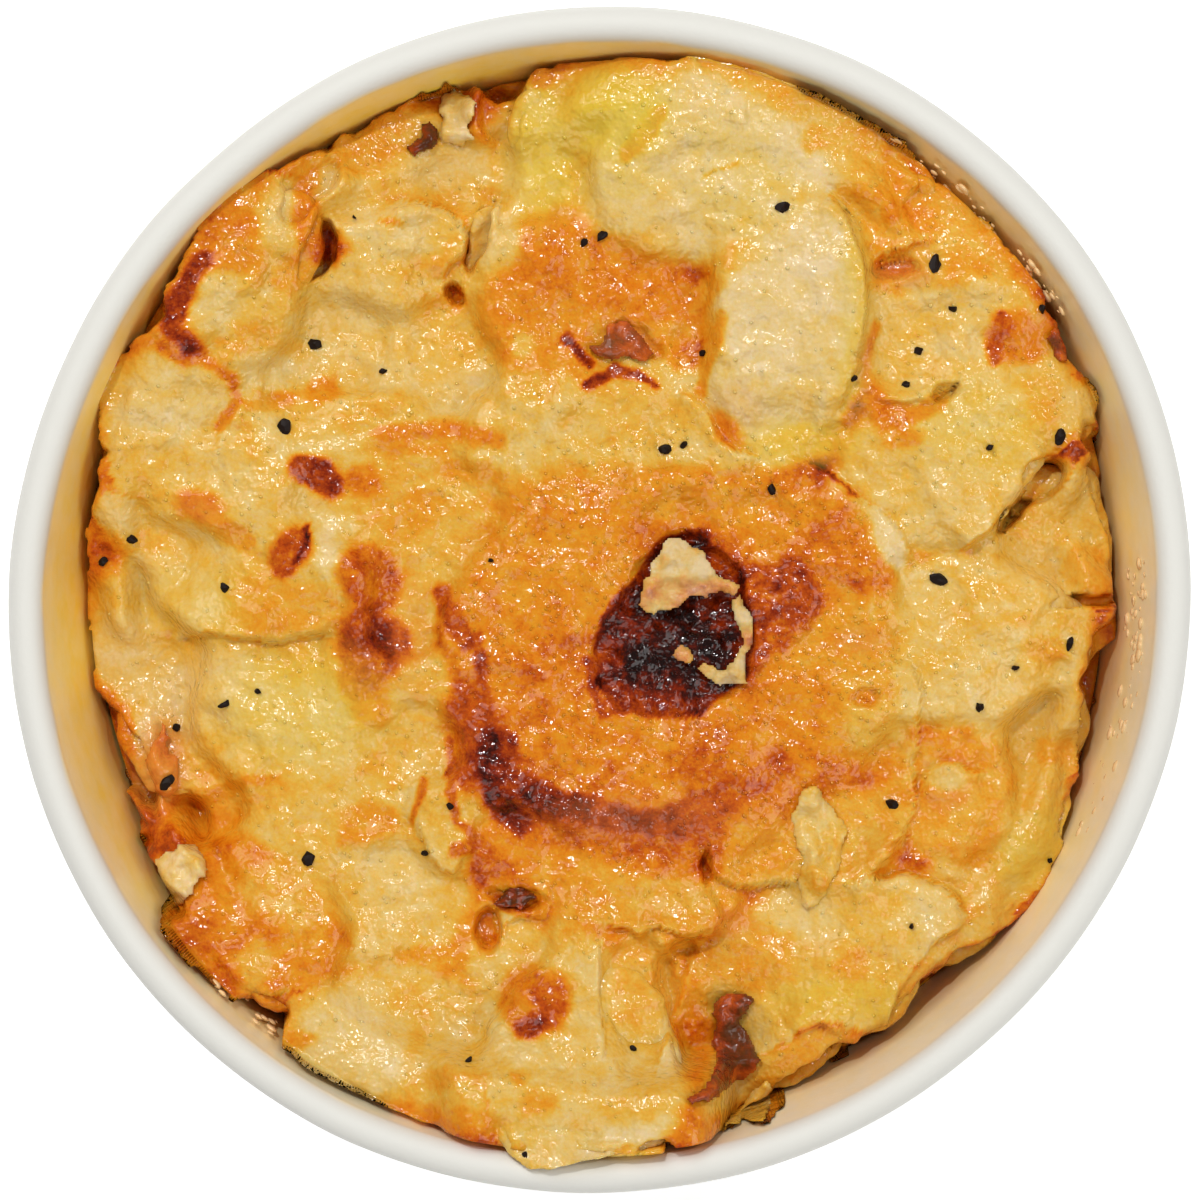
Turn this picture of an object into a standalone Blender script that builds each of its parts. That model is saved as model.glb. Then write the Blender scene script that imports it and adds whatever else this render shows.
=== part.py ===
"""A potato gratin baked in a round white paper bowl, filled almost to the rolled rim.

The bowl is a tapered paper wall with a rolled rim and a recessed base disc. In it lies a bed of
potato and cheese sauce, and on the bed the potato slices, bacon bits and crust flakes that show.
The pieces are placed from the top of the pile down. Each starts as a flat slab with its own
outline. It follows the surface of the pile, dips under whatever already lies above it, and so
never runs through a neighbour. The bed fills the bowl up to the lowest pieces.

Everything is in metres, +Z up, with the origin on the table under the middle of the bowl, and
+Y towards the top of the bowl as it is seen from above.
"""

import math
from collections import namedtuple

import bmesh
import bpy
import numpy as np
from mathutils import Matrix, Vector, noise
from mathutils.bvhtree import BVHTree

MM = 0.001

# The paper bowl
RIM_RADIUS = 57.5 * MM
ROLL_RADIUS = 1.7 * MM
BOWL_HEIGHT = 62 * MM
PAPER = 0.6 * MM
BASE_LEVEL = 7 * MM
BASE_INNER_RADIUS = 44 * MM
FOOT_THICKNESS = 1.9 * MM
FOOT_LEDGE = 5.9 * MM
BOWL_STEPS = 56
ROLL_ARC_STEPS = 9
ROLL_TUCK = math.radians(250)
SQUEEZE = 0.009
SQUEEZE_DIRECTION = math.radians(52)

# The surface of the whole pile, and the bed below it
CLEARANCE = 0.3 * MM
SURFACE = 54.5 * MM
SURFACE_LUMPS = 1.6 * MM
SURFACE_LUMP_LENGTH = 12 * MM
PLATEAU_RADIUS = 34 * MM
WALL_RADIUS = 51 * MM
WALL_LEVEL = 53.0 * MM
BED_DEPTH = 4.0 * MM
BED_STEPS = 40
BED_RINGS = 11
DITCH_WIDTH = 10 * MM

# How the loose pieces settle
CELL = 0.5 * MM
SAG_SLOPE = 1.0
SAG_SMOOTHING = 6
WINDOW_MARGIN = 16
WALL_GAP = 0.6 * MM
HIGH_ABOVE = 1.0
PRESSES = 8
PRESS_REACH = 5
SPILL_THINNING = 0.6
SPILL_REACH = 4 * MM
SPILL_CLEARANCE = 0.75 * MM

# The shape of a loose piece: the lengths of its outline's segments, where the rings on its top and
# underside run, its edge, and the lumps on it. The wobble of the outline is a sum of waves, each
# given as (waves around the piece, size, how often its starting angle is counted).
SEGMENT_LENGTH = 3.2 * MM
FEWEST_STEPS = 12
MOST_STEPS = 36
INNER_RING = 0.55
OUTER_RING = 0.78
LARGE_PIECE = 15
EDGE_TOP = 0.8 * MM
EDGE_UNDER = 0.5 * MM
EDGE_LEVEL = 0.55
MOST_INSET = 0.22
OUTLINE_WAVES = ((3, 0.035, 1), (5, 0.025, 2))
OUTLINE_START = (0.37, 0.73)
WALL_LIMIT = 51.8 * MM
PIECE_LUMPS = 0.4 * MM
PIECE_LUMP_LENGTH = 5 * MM
BLISTER_SPREAD = 0.75
THIN = 2.0

# Sizes derived from the ones above
ROLL_CENTRE = (RIM_RADIUS - ROLL_RADIUS, BOWL_HEIGHT - ROLL_RADIUS)
RIM_INNER_RADIUS = RIM_RADIUS - 2 * ROLL_RADIUS
WALL_SLOPE = (RIM_INNER_RADIUS - BASE_INNER_RADIUS) / (ROLL_CENTRE[1] - BASE_LEVEL)
WALL_ANGLE = math.atan(WALL_SLOPE)
BED_FOOT = BASE_LEVEL + CLEARANCE

FOODS = {
    "potato": ((0.86, 0.68, 0.34), 0.45),
    "crust": ((0.80, 0.40, 0.10), 0.40),
    "bacon": ((0.42, 0.13, 0.06), 0.45),
    "flake": ((0.78, 0.62, 0.34), 0.50),
    "sauce": ((0.84, 0.58, 0.24), 0.35),
    "paper": ((0.90, 0.89, 0.86), 0.55),
}

# A loose piece: where its middle lies, its half length and half width, the direction its length
# runs in degrees, its thickness, how far it stands above the surface of the pile, the tips
# pulled out of its outline or, when negative, the dents pushed into it, as (direction in degrees,
# reach, spread in degrees), and whether it has run up over the rim. Lengths are in mm. The pieces
# are listed from the bottom up.
Piece = namedtuple(
    "Piece", "name food x y length width turn thick lift tips spills", defaults=((), False)
)

PIECES = (
    # the lowest pieces, most of them against the wall
    Piece("slice_wall_northwest", "potato", -23.4, 42.6, 11.0, 7.0, 32, 3.0, -1.0),
    Piece("slice_back_northwest", "potato", -13.8, 40.6, 8.8, 6.2, 14, 2.8, -0.6),
    Piece("slice_back_northeast", "potato", 34.8, 31.8, 10.6, 6.4, -44, 2.8, -0.2),
    Piece("slice_back_east", "potato", 41.2, 24.4, 7.2, 5.4, -66, 2.6, 0.0),
    Piece("slice_low_east", "potato", 43.4, 5.6, 8.4, 7.2, 12, 2.8, -1.0, ((55, 2.2, 18), (-20, 1.4, 20))),
    Piece("slice_wall_east", "potato", 42.6, -12.6, 7.0, 6.4, 90, 3.0, -1.2),
    Piece("slice_wall_southeast", "potato", 40.0, -26.4, 11.8, 7.0, 56, 3.0, -0.8, ((-125, 1.5, 20),)),
    Piece("slice_under_south", "potato", 17.6, -46.8, 10.2, 4.8, 24, 2.6, -2.0),
    Piece("slice_low_west", "potato", -45.0, -3.2, 8.4, 6.2, -80, 2.8, -1.5, ((-95, 0.8, 25), (160, -0.6, 20))),
    Piece("slice_sunk_west", "potato", -43.0, -13.6, 6.6, 4.8, -62, 2.4, -2.5),
    Piece("slice_under_west", "potato", -32.5, -8.2, 9.6, 6.4, 8, 2.6, -1.2),
    Piece("slice_hollow_south", "potato", 7.0, -38.2, 8.8, 8.0, 62, 2.6, -2.2),
    Piece("slice_small_northwest", "potato", -43.4, 25.4, 5.4, 4.4, 48, 2.8, -1.5),
    Piece("slice_lump_southeast", "potato", 34.6, -19.4, 7.8, 6.6, -15, 3.0, 0.2),
    # the middle of the pile
    Piece("slice_yellow_north", "potato", -2.2, 44.4, 9.4, 7.4, 84, 3.0, 0.0),
    Piece("slice_yellow_upper", "potato", 3.6, 47.0, 7.2, 5.2, -78, 2.4, 0.6, ((-110, 1.2, 24),)),
    Piece("slice_northeast", "potato", 25.0, 42.4, 10.4, 7.2, -50, 3.0, 0.6, ((-52, 1.8, 16), (22, 0.6, 18))),
    Piece("slice_upper_east", "potato", 33.8, 25.6, 10.8, 7.6, -6, 2.8, 0.4, ((-70, 1.0, 16), (-35, -0.9, 14))),
    Piece("slice_nub_east", "potato", 46.0, 18.8, 4.2, 4.0, 72, 2.8, 0.4, ((45, 0.7, 18), (-30, 0.7, 18))),
    Piece("slice_southwest_bottom", "potato", -19.6, -44.4, 12.0, 9.4, -16, 3.0, -0.4),
    Piece("slice_southwest_pale", "potato", -25.4, -26.4, 14.0, 9.4, -26, 2.8, -0.2),
    Piece("slice_big_west", "potato", -23.4, -14.2, 17.0, 9.8, -12, 2.8, 0.2, ((150, 1.0, 20),)),
    Piece("slice_southwest_golden", "crust", -33.6, -31.6, 10.2, 8.0, -30, 3.0, 0.8, ((-75, 1.4, 22), (-25, -1.2, 18))),
    Piece("chunk_southwest", "potato", -41.4, -26.6, 3.9, 3.0, -60, 2.4, 0.8, ((130, 0.6, 16), (-60, 0.6, 16))),
    Piece("slice_pepper_northwest", "potato", -24.0, 26.3, 10.0, 8.4, -6, 2.8, -1.2),
    Piece("slice_inner_northwest", "potato", -11.0, 20.6, 11.6, 9.4, 0, 2.8, -0.2),
    Piece("slice_half_northwest", "potato", -19.2, 33.4, 7.4, 5.8, 14, 2.8, 0.4, ((30, 0.7, 26), (-60, -0.6, 30))),
    Piece("slice_frill_north", "potato", -10.3, 33.6, 5.8, 3.8, 70, 2.4, 0.4, ((115, 0.8, 16),)),
    Piece("slice_inner_west", "potato", -23.2, 9.4, 14.4, 11.4, -22, 2.8, 0.2),
    Piece("slice_edge_west", "potato", -34.4, 2.6, 12.2, 7.0, -8, 3.0, 1.0, ((-68, -0.8, 34), (-10, 0.8, 20))),
    Piece("slice_tip_west", "potato", -45.8, 7.6, 5.4, 3.0, -46, 2.2, 0.8, ((135, 0.9, 14),)),
    Piece("slice_large_west", "potato", -39.8, 15.4, 10.8, 8.4, -35, 3.0, 1.2, ((120, 1.0, 24), (160, 0.8, 20))),
    Piece("slice_long_northwest", "potato", -35.0, 30.6, 12.4, 6.4, 66, 3.2, 1.6, ((42, 1.2, 16), (-12, -0.8, 16))),
    Piece("slice_pale_south", "potato", 23.0, -34.8, 13.2, 8.4, 27, 3.0, 0.6, ((18, 2.0, 12), (-52, 1.4, 20), (-12, -1.2, 14))),
    Piece("slice_blister_south", "potato", -4.8, -35.6, 9.4, 8.0, -48, 2.8, 0.6),
    Piece("slice_point_east", "potato", 35.0, -4.4, 13.6, 8.6, 0, 2.8, 0.8, ((10, 2.2, 9), (-16, 0.8, 8), (-38, -0.8, 14))),
    Piece("slice_smooth_east", "potato", 33.0, 13.4, 12.2, 8.6, 36, 3.2, 1.8, ((20, 1.0, 18), (-68, 1.0, 18))),
    Piece("slice_toasted_north", "crust", -1.4, 28.6, 11.4, 9.2, -15, 2.8, 1.0, ((165, 1.0, 20), (60, -0.9, 18))),
    Piece("slice_back_centre", "potato", 1.2, 15.4, 15.2, 9.6, 0, 2.8, 1.2, ((8, 1.2, 12), (25, -0.6, 10))),
    # the top of the pile
    Piece("bacon_south", "bacon", 12.0, -44.2, 6.4, 3.2, 72, 2.0, 0.4, ((-120, 0.8, 16), (65, 0.5, 14))),
    Piece("slice_rim_south", "potato", -1.4, -45.0, 10.6, 10.2, -80, 2.8, 1.2, ((-116, 1.8, 18), (-30, 1.2, 18)), True),
    Piece("slice_pale_north", "potato", 11.5, 42.2, 13.4, 10.0, 6, 3.2, 1.8, ((82, 1.2, 16), (125, -0.8, 18))),
    Piece("slice_pale_east", "potato", 18.2, 27.2, 14.0, 8.2, 82, 3.4, 2.8, ((-95, 1.0, 20),)),
    Piece("slice_lower_southeast", "potato", 20.0, -23.4, 10.6, 5.8, 6, 2.8, 1.6, ((195, 1.0, 18),)),
    Piece("slice_below_crust", "potato", 1.8, -26.0, 14.0, 7.8, -8, 2.8, 1.2, ((-38, 1.4, 14), (-100, -0.8, 18))),
    Piece("slice_inner_southwest", "potato", -15.6, -22.2, 6.0, 3.2, -68, 2.6, 1.2, ((-75, 0.8, 18),)),
    Piece("crust_disc", "crust", 7.6, -5.2, 23.2, 18.8, 4, 3.4, 2.6, ((33, 1.0, 12), (-58, 1.6, 24), (225, 2.0, 20), (142, 0.9, 20))),
    Piece("chunk_hanging_southeast", "potato", 22.2, -24.6, 6.2, 3.0, 80, 1.8, 3.2, ((-100, 0.8, 18),)),
    Piece("chunk_northwest", "potato", -13.8, 47.4, 3.4, 2.3, 78, 2.2, 1.6, ((60, 0.5, 16),)),
    Piece("chunk_golden_south", "potato", 14.6, -49.6, 3.2, 2.2, 30, 2.2, 0.8, ((20, 0.5, 16),)),
    # bacon and the flakes on the burnt patch
    Piece("bacon_north", "bacon", 1.0, 25.4, 4.6, 2.3, -25, 1.6, 1.8, ((-25, 0.6, 14),)),
    Piece("bacon_northwest", "bacon", -17.2, 45.0, 2.5, 2.0, 42, 1.8, 0.6),
    Piece("bacon_east", "bacon", 45.4, 24.8, 3.5, 1.6, -74, 1.8, 0.8),
    Piece("bacon_southwest", "bacon", -7.8, -29.2, 2.8, 1.7, -18, 1.8, 1.6),
    Piece("bacon_west", "bacon", -42.8, -15.8, 4.4, 2.1, 76, 1.8, 0.0, ((80, 0.6, 14),)),
    Piece("flake_large", "flake", 8.0, 3.0, 4.7, 3.8, 52, 0.9, 2.4, ((-30, 0.6, 14), (120, -0.5, 16))),
    Piece("flake_strip", "flake", 13.4, -4.6, 4.9, 1.4, -72, 0.9, 2.3),
)

# How high the pile stands along the wall, as a change from the usual level: direction in
# degrees, height in mm, and spread in degrees.
WALL_LEVELS = (
    (-14, -3.5, 14),
    (10, -2.0, 14),
    (45, 3.0, 18),
    (75, 4.0, 16),
    (100, 3.0, 14),
    (130, 4.0, 18),
    (158, 2.0, 12),
    (182, -5.0, 18),
    (238, 3.0, 16),
    (264, 7.5, 13),
)

# Where the bed sinks beside the wall: direction in degrees, depth in mm, and spread in degrees.
DITCHES = (
    (-10, 4.0, 8),
    (-26, 3.0, 6),
    (-46, 5.0, 9),
    (-62, 3.0, 8),
    (-128, 5.0, 8),
    (200, 4.0, 9),
    (184, 3.0, 7),
    (163, 3.0, 6),
    (25, 3.0, 8),
    (150, 2.5, 5),
)

# Flakes of crushed pepper, each baked onto the piece it fell on: middle, half length, half width
# and direction in degrees.
PEPPER = (
    (18.0, 38.6, 0.8, 0.55, 10),
    (33.0, 33.1, 1.1, 0.4, 80),
    (-30.4, 17.3, 1.0, 0.7, 80),
    (-28.0, 25.2, 0.65, 0.5, 0),
    (-45.6, 6.2, 0.7, 0.4, -30),
    (-1.6, 35.0, 0.5, 0.4, 60),
    (0.2, 35.9, 0.6, 0.4, 40),
    (6.2, 14.7, 0.7, 0.5, 0),
    (8.2, 15.3, 0.5, 0.35, 50),
    (27.4, 25.7, 0.5, 0.4, 0),
    (31.3, 24.5, 0.5, 0.4, 30),
    (30.2, 21.4, 0.4, 0.35, 0),
    (44.9, 17.4, 1.0, 0.6, 80),
    (33.3, 2.1, 1.0, 0.6, -10),
    (46.0, -4.2, 0.8, 0.35, 75),
    (27.6, -20.4, 0.7, 0.6, 0),
    (-27.2, -25.3, 0.8, 0.6, 70),
    (-42.6, -17.4, 1.1, 0.5, 50),
    (-41.9, -12.8, 0.5, 0.4, 0),
    (-36.5, -10.4, 0.6, 0.4, 20),
    (3.2, -44.1, 0.5, 0.35, 0),
    (-21.4, 23.2, 0.5, 0.3, 10),
    (17.3, 10.6, 0.5, 0.35, 0),
    (44.2, -25.0, 0.5, 0.35, 0),
)
PEPPER_HEIGHT = 0.45 * MM
PEPPER_LUMPS = 0.25

# Blisters raised in the cheese, and hollows when the height is negative: middle, radius, height.
BLISTERS = (
    (-5.9, -39.6, 3.2, 1.0),
    (-22.2, -4.0, 4.0, 1.1),
    (-22.5, 3.6, 2.8, 0.9),
    (-27.6, 12.2, 3.4, 1.0),
    (-30.6, 4.0, 2.6, 0.8),
    (40.2, 25.4, 3.6, 1.0),
    (28.2, 19.4, 3.0, 0.8),
    (-38.8, 30.6, 3.4, 0.9),
    (-36.4, 34.6, 3.4, 0.9),
    (-39.4, 9.2, 3.2, 0.8),
    (7.2, -3.0, 7.0, -1.3),
    (18.6, 0.8, 4.4, 0.7),
    (-11.6, -18.0, 4.5, 0.9),
    (5.0, -19.6, 5.0, 0.7),
    (-4.0, 32.0, 5.0, 0.9),
    (-37.0, -31.6, 5.0, 0.9),
)


def wall_inner_radius(z):
    """The inside radius of the tapered wall at a height."""
    return BASE_INNER_RADIUS + (z - BASE_LEVEL) * WALL_SLOPE


def clear_scene():
    for obj in list(bpy.data.objects):
        bpy.data.objects.remove(obj, do_unlink=True)


def material(food):
    """The Principled material of one kind of food, or of the paper."""
    found = bpy.data.materials.get(food)
    if found:
        return found
    colour, roughness = FOODS[food]
    made = bpy.data.materials.new(food)
    made.use_nodes = True
    shader = made.node_tree.nodes["Principled BSDF"]
    shader.inputs["Base Color"].default_value = (*colour, 1)
    shader.inputs["Roughness"].default_value = roughness
    shader.inputs["Metallic"].default_value = 0
    return made


def turned(name, profile, steps, closed=False):
    """A mesh turned about Z from a profile of (radius, height) that runs down its outer side."""
    line = bpy.data.meshes.new(name + "_profile")
    count = len(profile)
    edges = [(i, i + 1) for i in range(count - 1)]
    if closed:
        edges.append((count - 1, 0))
    line.from_pydata([(r, 0, z) for r, z in profile], edges, [])
    lathe = bpy.data.objects.new(name + "_lathe", line)
    bpy.context.scene.collection.objects.link(lathe)
    screw = lathe.modifiers.new("Turn", "SCREW")
    screw.steps = steps
    screw.render_steps = steps
    screw.use_merge_vertices = True
    screw.merge_threshold = 0.00001
    graph = bpy.context.evaluated_depsgraph_get()
    mesh = bpy.data.meshes.new_from_object(lathe.evaluated_get(graph))
    bpy.data.objects.remove(lathe)
    bpy.data.meshes.remove(line)
    mesh.name = name
    return mesh


def triangulated(mesh):
    """Splits the faces into triangles, so that what rests on the mesh meets its true surface."""
    work = bmesh.new()
    work.from_mesh(mesh)
    bmesh.ops.triangulate(work, faces=work.faces)
    bmesh.ops.recalc_face_normals(work, faces=work.faces)
    if work.calc_volume(signed=True) < 0:
        bmesh.ops.reverse_faces(work, faces=work.faces)
    work.to_mesh(mesh)
    work.free()
    return mesh


def add_node(mesh, food, collection):
    """Puts a finished mesh in the scene under its own name, squeezed oval with the bowl."""
    along = Vector((math.cos(SQUEEZE_DIRECTION), math.sin(SQUEEZE_DIRECTION), 0))
    across = Vector((-along.y, along.x, 0))
    for vertex in mesh.vertices:
        stretch = SQUEEZE * vertex.co.z / BOWL_HEIGHT
        vertex.co += stretch * (along * vertex.co.dot(along) - across * vertex.co.dot(across))
    mesh.materials.clear()
    mesh.materials.append(material(food))
    mesh.shade_smooth()
    mesh.set_sharp_from_angle(angle=math.radians(40))
    node = bpy.data.objects.new(mesh.name, mesh)
    collection.objects.link(node)
    return node


def bowl_wall_mesh():
    """The tapered wall: rolled rim at the top, wall folded inwards into a foot at the bottom."""
    thickness = PAPER / math.cos(WALL_ANGLE)
    roll_r, roll_z = ROLL_CENTRE
    arc = [
        (
            roll_r - ROLL_RADIUS * math.cos(math.pi / 2 + ROLL_TUCK * i / ROLL_ARC_STEPS),
            roll_z + ROLL_RADIUS * math.sin(math.pi / 2 + ROLL_TUCK * i / ROLL_ARC_STEPS),
        )
        for i in range(ROLL_ARC_STEPS)
    ]
    outer_under_roll = arc[-1][1] - ROLL_RADIUS / 3
    foot_outer = wall_inner_radius(0) + thickness
    profile = arc + [
        (wall_inner_radius(outer_under_roll) + thickness, outer_under_roll),
        (foot_outer, 0),
        (foot_outer - FOOT_THICKNESS, 0),
        (wall_inner_radius(FOOT_LEDGE) + thickness - FOOT_THICKNESS, FOOT_LEDGE),
        (wall_inner_radius(FOOT_LEDGE), FOOT_LEDGE),
        (RIM_INNER_RADIUS, roll_z),
        (roll_r - ROLL_RADIUS * math.cos(math.pi / 4), roll_z + ROLL_RADIUS * math.sin(math.pi / 4)),
    ]
    return triangulated(turned("bowl_wall", profile, BOWL_STEPS, closed=True))


def bowl_base_mesh():
    """The base disc, which lies on the folded foot."""
    under = FOOT_LEDGE + CLEARANCE
    radius = wall_inner_radius(under) - CLEARANCE
    profile = [(0, BASE_LEVEL), (radius, BASE_LEVEL), (radius, under), (0, under)]
    return triangulated(turned("bowl_base", profile, BOWL_STEPS))


def surface_height(x, y):
    """The surface of the pile: level in the middle, with its own height along the wall."""
    radius = math.hypot(x, y)
    toward_wall = min(max((radius - PLATEAU_RADIUS) / (WALL_RADIUS - PLATEAU_RADIUS), 0), 1)
    toward_wall = toward_wall**2 * (3 - 2 * toward_wall)
    level = WALL_LEVEL + bumps_toward(x, y, WALL_LEVELS)
    lumps = SURFACE_LUMPS * noise.noise(Vector((x, y, 0)) / SURFACE_LUMP_LENGTH)
    return SURFACE + toward_wall * (level - SURFACE) + lumps


def bumps_toward(x, y, bumps):
    """The sum of the bumps at a place that lies in their directions."""
    total = 0.0
    for direction, height, spread in bumps:
        off = (math.degrees(math.atan2(y, x)) - direction + 180) % 360 - 180
        total += height * MM * math.exp(-((off / spread) ** 2))
    return total


def bed_mesh(pile):
    """Potato and sauce from the base up to the lowest pieces, one solid."""
    rim = wall_inner_radius(WALL_LEVEL)
    rings = [(rim * math.sqrt(i / BED_RINGS), WALL_LEVEL) for i in range(BED_RINGS + 1)]
    profile = rings + [(wall_inner_radius(BED_FOOT) - CLEARANCE, BED_FOOT), (0, BED_FOOT)]
    mesh = triangulated(turned("gratin_bed", profile, BED_STEPS))
    radius = np.hypot(pile.x, pile.y)
    beside_wall = np.clip((radius - WALL_RADIUS) / DITCH_WIDTH + 1, 0, 1)
    ditch = np.vectorize(lambda x, y: bumps_toward(x, y, DITCHES))(pile.x, pile.y)
    wish = pile.surface - BED_DEPTH - beside_wall * ditch
    sag = pile.settled(wish, np.full(wish.shape, True))
    top = [vertex for vertex in mesh.vertices if vertex.co.z > WALL_LEVEL - MM]
    for vertex in top:
        vertex.co.z = pile.sampled(sag, vertex.co.x, vertex.co.y)
    keep_off_wall(mesh, CLEARANCE)
    pile.clear_of_ceiling(mesh, radius < WALL_RADIUS, top)
    keep_off_wall(mesh, CLEARANCE)
    return mesh


class Pile:
    """The surface wished for and the underside of what has been placed, on a square grid."""

    def __init__(self):
        cells = int(2 * RIM_RADIUS / CELL) + 3
        self.axis = (np.arange(cells) - cells // 2) * CELL
        self.x, self.y = np.meshgrid(self.axis, self.axis, indexing="ij")
        self.surface = np.vectorize(surface_height)(self.x, self.y)
        self.ceiling = np.full(self.x.shape, HIGH_ABOVE)

    def heights(self, mesh, where, side):
        """The height of a mesh's top (side 1) or underside (side -1) in the marked cells."""
        tree = BVHTree.FromPolygons(
            [v.co for v in mesh.vertices], [tuple(p.vertices) for p in mesh.polygons]
        )
        start = 2 * BOWL_HEIGHT * max(side, 0)
        down = Vector((0, 0, -side))
        found = np.full(self.x.shape, np.nan)
        for i, j in zip(*np.nonzero(where)):
            hit = tree.ray_cast(Vector((self.axis[i], self.axis[j], start)), down)[0]
            if hit is not None:
                found[i, j] = hit.z
        return found

    def clear_of_ceiling(self, mesh, where, loose):
        """Presses the loose vertices down until the mesh lies clear of everything above it."""
        for _ in range(PRESSES):
            short = CLEARANCE - (shrunk(self.ceiling) - self.heights(mesh, where, 1))
            short = np.maximum(np.nan_to_num(short), 0)
            if short.max() == 0:
                return
            for _ in range(PRESS_REACH):
                short = -shrunk(-short)
            for vertex in loose:
                vertex.co.z -= self.sampled(short, vertex.co.x, vertex.co.y)
        short = CLEARANCE - (shrunk(self.ceiling) - self.heights(mesh, where, 1))
        for vertex in loose:
            vertex.co.z -= max(np.nanmax(short), 0)

    def settled(self, wish, where):
        """The highest soft surface that is nowhere above the wish or the pieces on top."""
        room = np.where(where, np.minimum(wish, shrunk(shrunk(self.ceiling)) - CLEARANCE), HIGH_ABOVE)
        rows, columns = (np.nonzero(where.any(axis))[0] for axis in (1, 0))
        window = (
            slice(max(rows[0] - WINDOW_MARGIN, 0), rows[-1] + WINDOW_MARGIN),
            slice(max(columns[0] - WINDOW_MARGIN, 0), columns[-1] + WINDOW_MARGIN),
        )
        sag = room[window]
        while True:
            lower = sag
            for dx, dy in ((1, 0), (-1, 0), (0, 1), (0, -1), (1, 1), (-1, -1), (1, -1), (-1, 1)):
                lower = np.minimum(lower, slid(sag, dx, dy) + SAG_SLOPE * CELL * math.hypot(dx, dy))
            if np.abs(lower - sag).max() < 0.01 * MM:
                break
            sag = lower
        for _ in range(SAG_SMOOTHING):
            sag = blurred(sag)
        whole = np.full(self.x.shape, HIGH_ABOVE)
        whole[window] = sag
        return whole

    def sampled(self, field, x, y):
        """A field's value between its cells."""
        u = min(max((x - self.axis[0]) / CELL, 0), len(self.axis) - 1.001)
        v = min(max((y - self.axis[0]) / CELL, 0), len(self.axis) - 1.001)
        i, j = int(u), int(v)
        u, v = u - i, v - j
        low = field[i, j] * (1 - v) + field[i, j + 1] * v
        high = field[i + 1, j] * (1 - v) + field[i + 1, j + 1] * v
        return low * (1 - u) + high * u


def slid(field, dx, dy):
    """The field moved over by whole cells, with the edge cells repeated."""
    padded = np.pad(field, 1, mode="edge")
    return padded[1 - dx : padded.shape[0] - 1 - dx, 1 - dy : padded.shape[1] - 1 - dy]


def shrunk(field):
    """Each cell lowered to the lowest of its neighbours."""
    for dx, dy in ((1, 0), (0, 1)):
        field = np.minimum(field, np.minimum(slid(field, dx, dy), slid(field, -dx, -dy)))
    return field


def blurred(field):
    """A small blur, so a few passes round off every crease."""
    for dx, dy in ((1, 0), (0, 1)):
        field = (slid(field, dx, dy) + slid(field, -dx, -dy) + 2 * field) / 4
    return field


def outline_radius(piece, angle):
    """How far a piece reaches in a direction, in radians from +X, as numbers or arrays."""
    local = angle - math.radians(piece.turn)
    length, width = piece.length * MM, piece.width * MM
    reach = length * width / np.hypot(width * np.cos(local), length * np.sin(local))
    start = piece.x * OUTLINE_START[0] + piece.y * OUTLINE_START[1]
    wobble = sum(size * np.sin(waves * angle + times * start) for waves, size, times in OUTLINE_WAVES)
    reach = reach * (1 + wobble)
    for direction, pull, spread in piece.tips:
        off = (angle - math.radians(direction) + math.pi) % (2 * math.pi) - math.pi
        reach = reach + pull * MM * np.exp(-((off / math.radians(spread)) ** 2))
    if piece.spills:
        return reach
    return np.minimum(reach, wall_distance(piece, angle))


def wall_distance(piece, angle):
    """How far it is from the middle of a piece to the wall in a direction."""
    x, y = piece.x * MM, piece.y * MM
    along = x * np.cos(angle) + y * np.sin(angle)
    return np.sqrt(along**2 + WALL_LIMIT**2 - x**2 - y**2) - along


def footprint(piece, x, y):
    """The grid cells that a piece covers, seen from above."""
    dx, dy = x - piece.x * MM, y - piece.y * MM
    return np.hypot(dx, dy) < outline_radius(piece, np.arctan2(dy, dx)) + CELL


def slab_mesh(piece):
    """A flat slab with the piece's outline and a softened edge, its underside at height 0."""
    radius = math.sqrt(piece.length * piece.width) * MM
    thick = piece.thick * MM
    steps = max(FEWEST_STEPS, min(MOST_STEPS, round(2 * math.pi * radius / SEGMENT_LENGTH)))
    inset = min(EDGE_TOP, radius * MOST_INSET)
    under_inset = min(EDGE_UNDER, radius * MOST_INSET)
    profile = [(0, thick), (INNER_RING * radius, thick), (radius - inset, thick)]
    profile += [(radius, EDGE_LEVEL * thick), (radius - under_inset, 0), (INNER_RING * radius, 0), (0, 0)]
    if piece.length > LARGE_PIECE:
        profile.insert(2, (OUTER_RING * radius, thick))
        profile.insert(-2, (OUTER_RING * radius, 0))
    mesh = triangulated(turned(piece.name, profile, steps))
    for vertex in mesh.vertices:
        angle = math.atan2(vertex.co.y, vertex.co.x)
        stretch = float(outline_radius(piece, angle)) / radius
        vertex.co.x = vertex.co.x * stretch + piece.x * MM
        vertex.co.y = vertex.co.y * stretch + piece.y * MM
    return mesh


def blister_height(x, y):
    """How far the blisters and hollows lift or lower the cheese at a place."""
    height = 0.0
    for middle_x, middle_y, radius, rise in BLISTERS:
        away = math.hypot(x - middle_x * MM, y - middle_y * MM) / (radius * MM)
        height += rise * MM * math.exp(-((away / BLISTER_SPREAD) ** 2))
    return height


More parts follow.
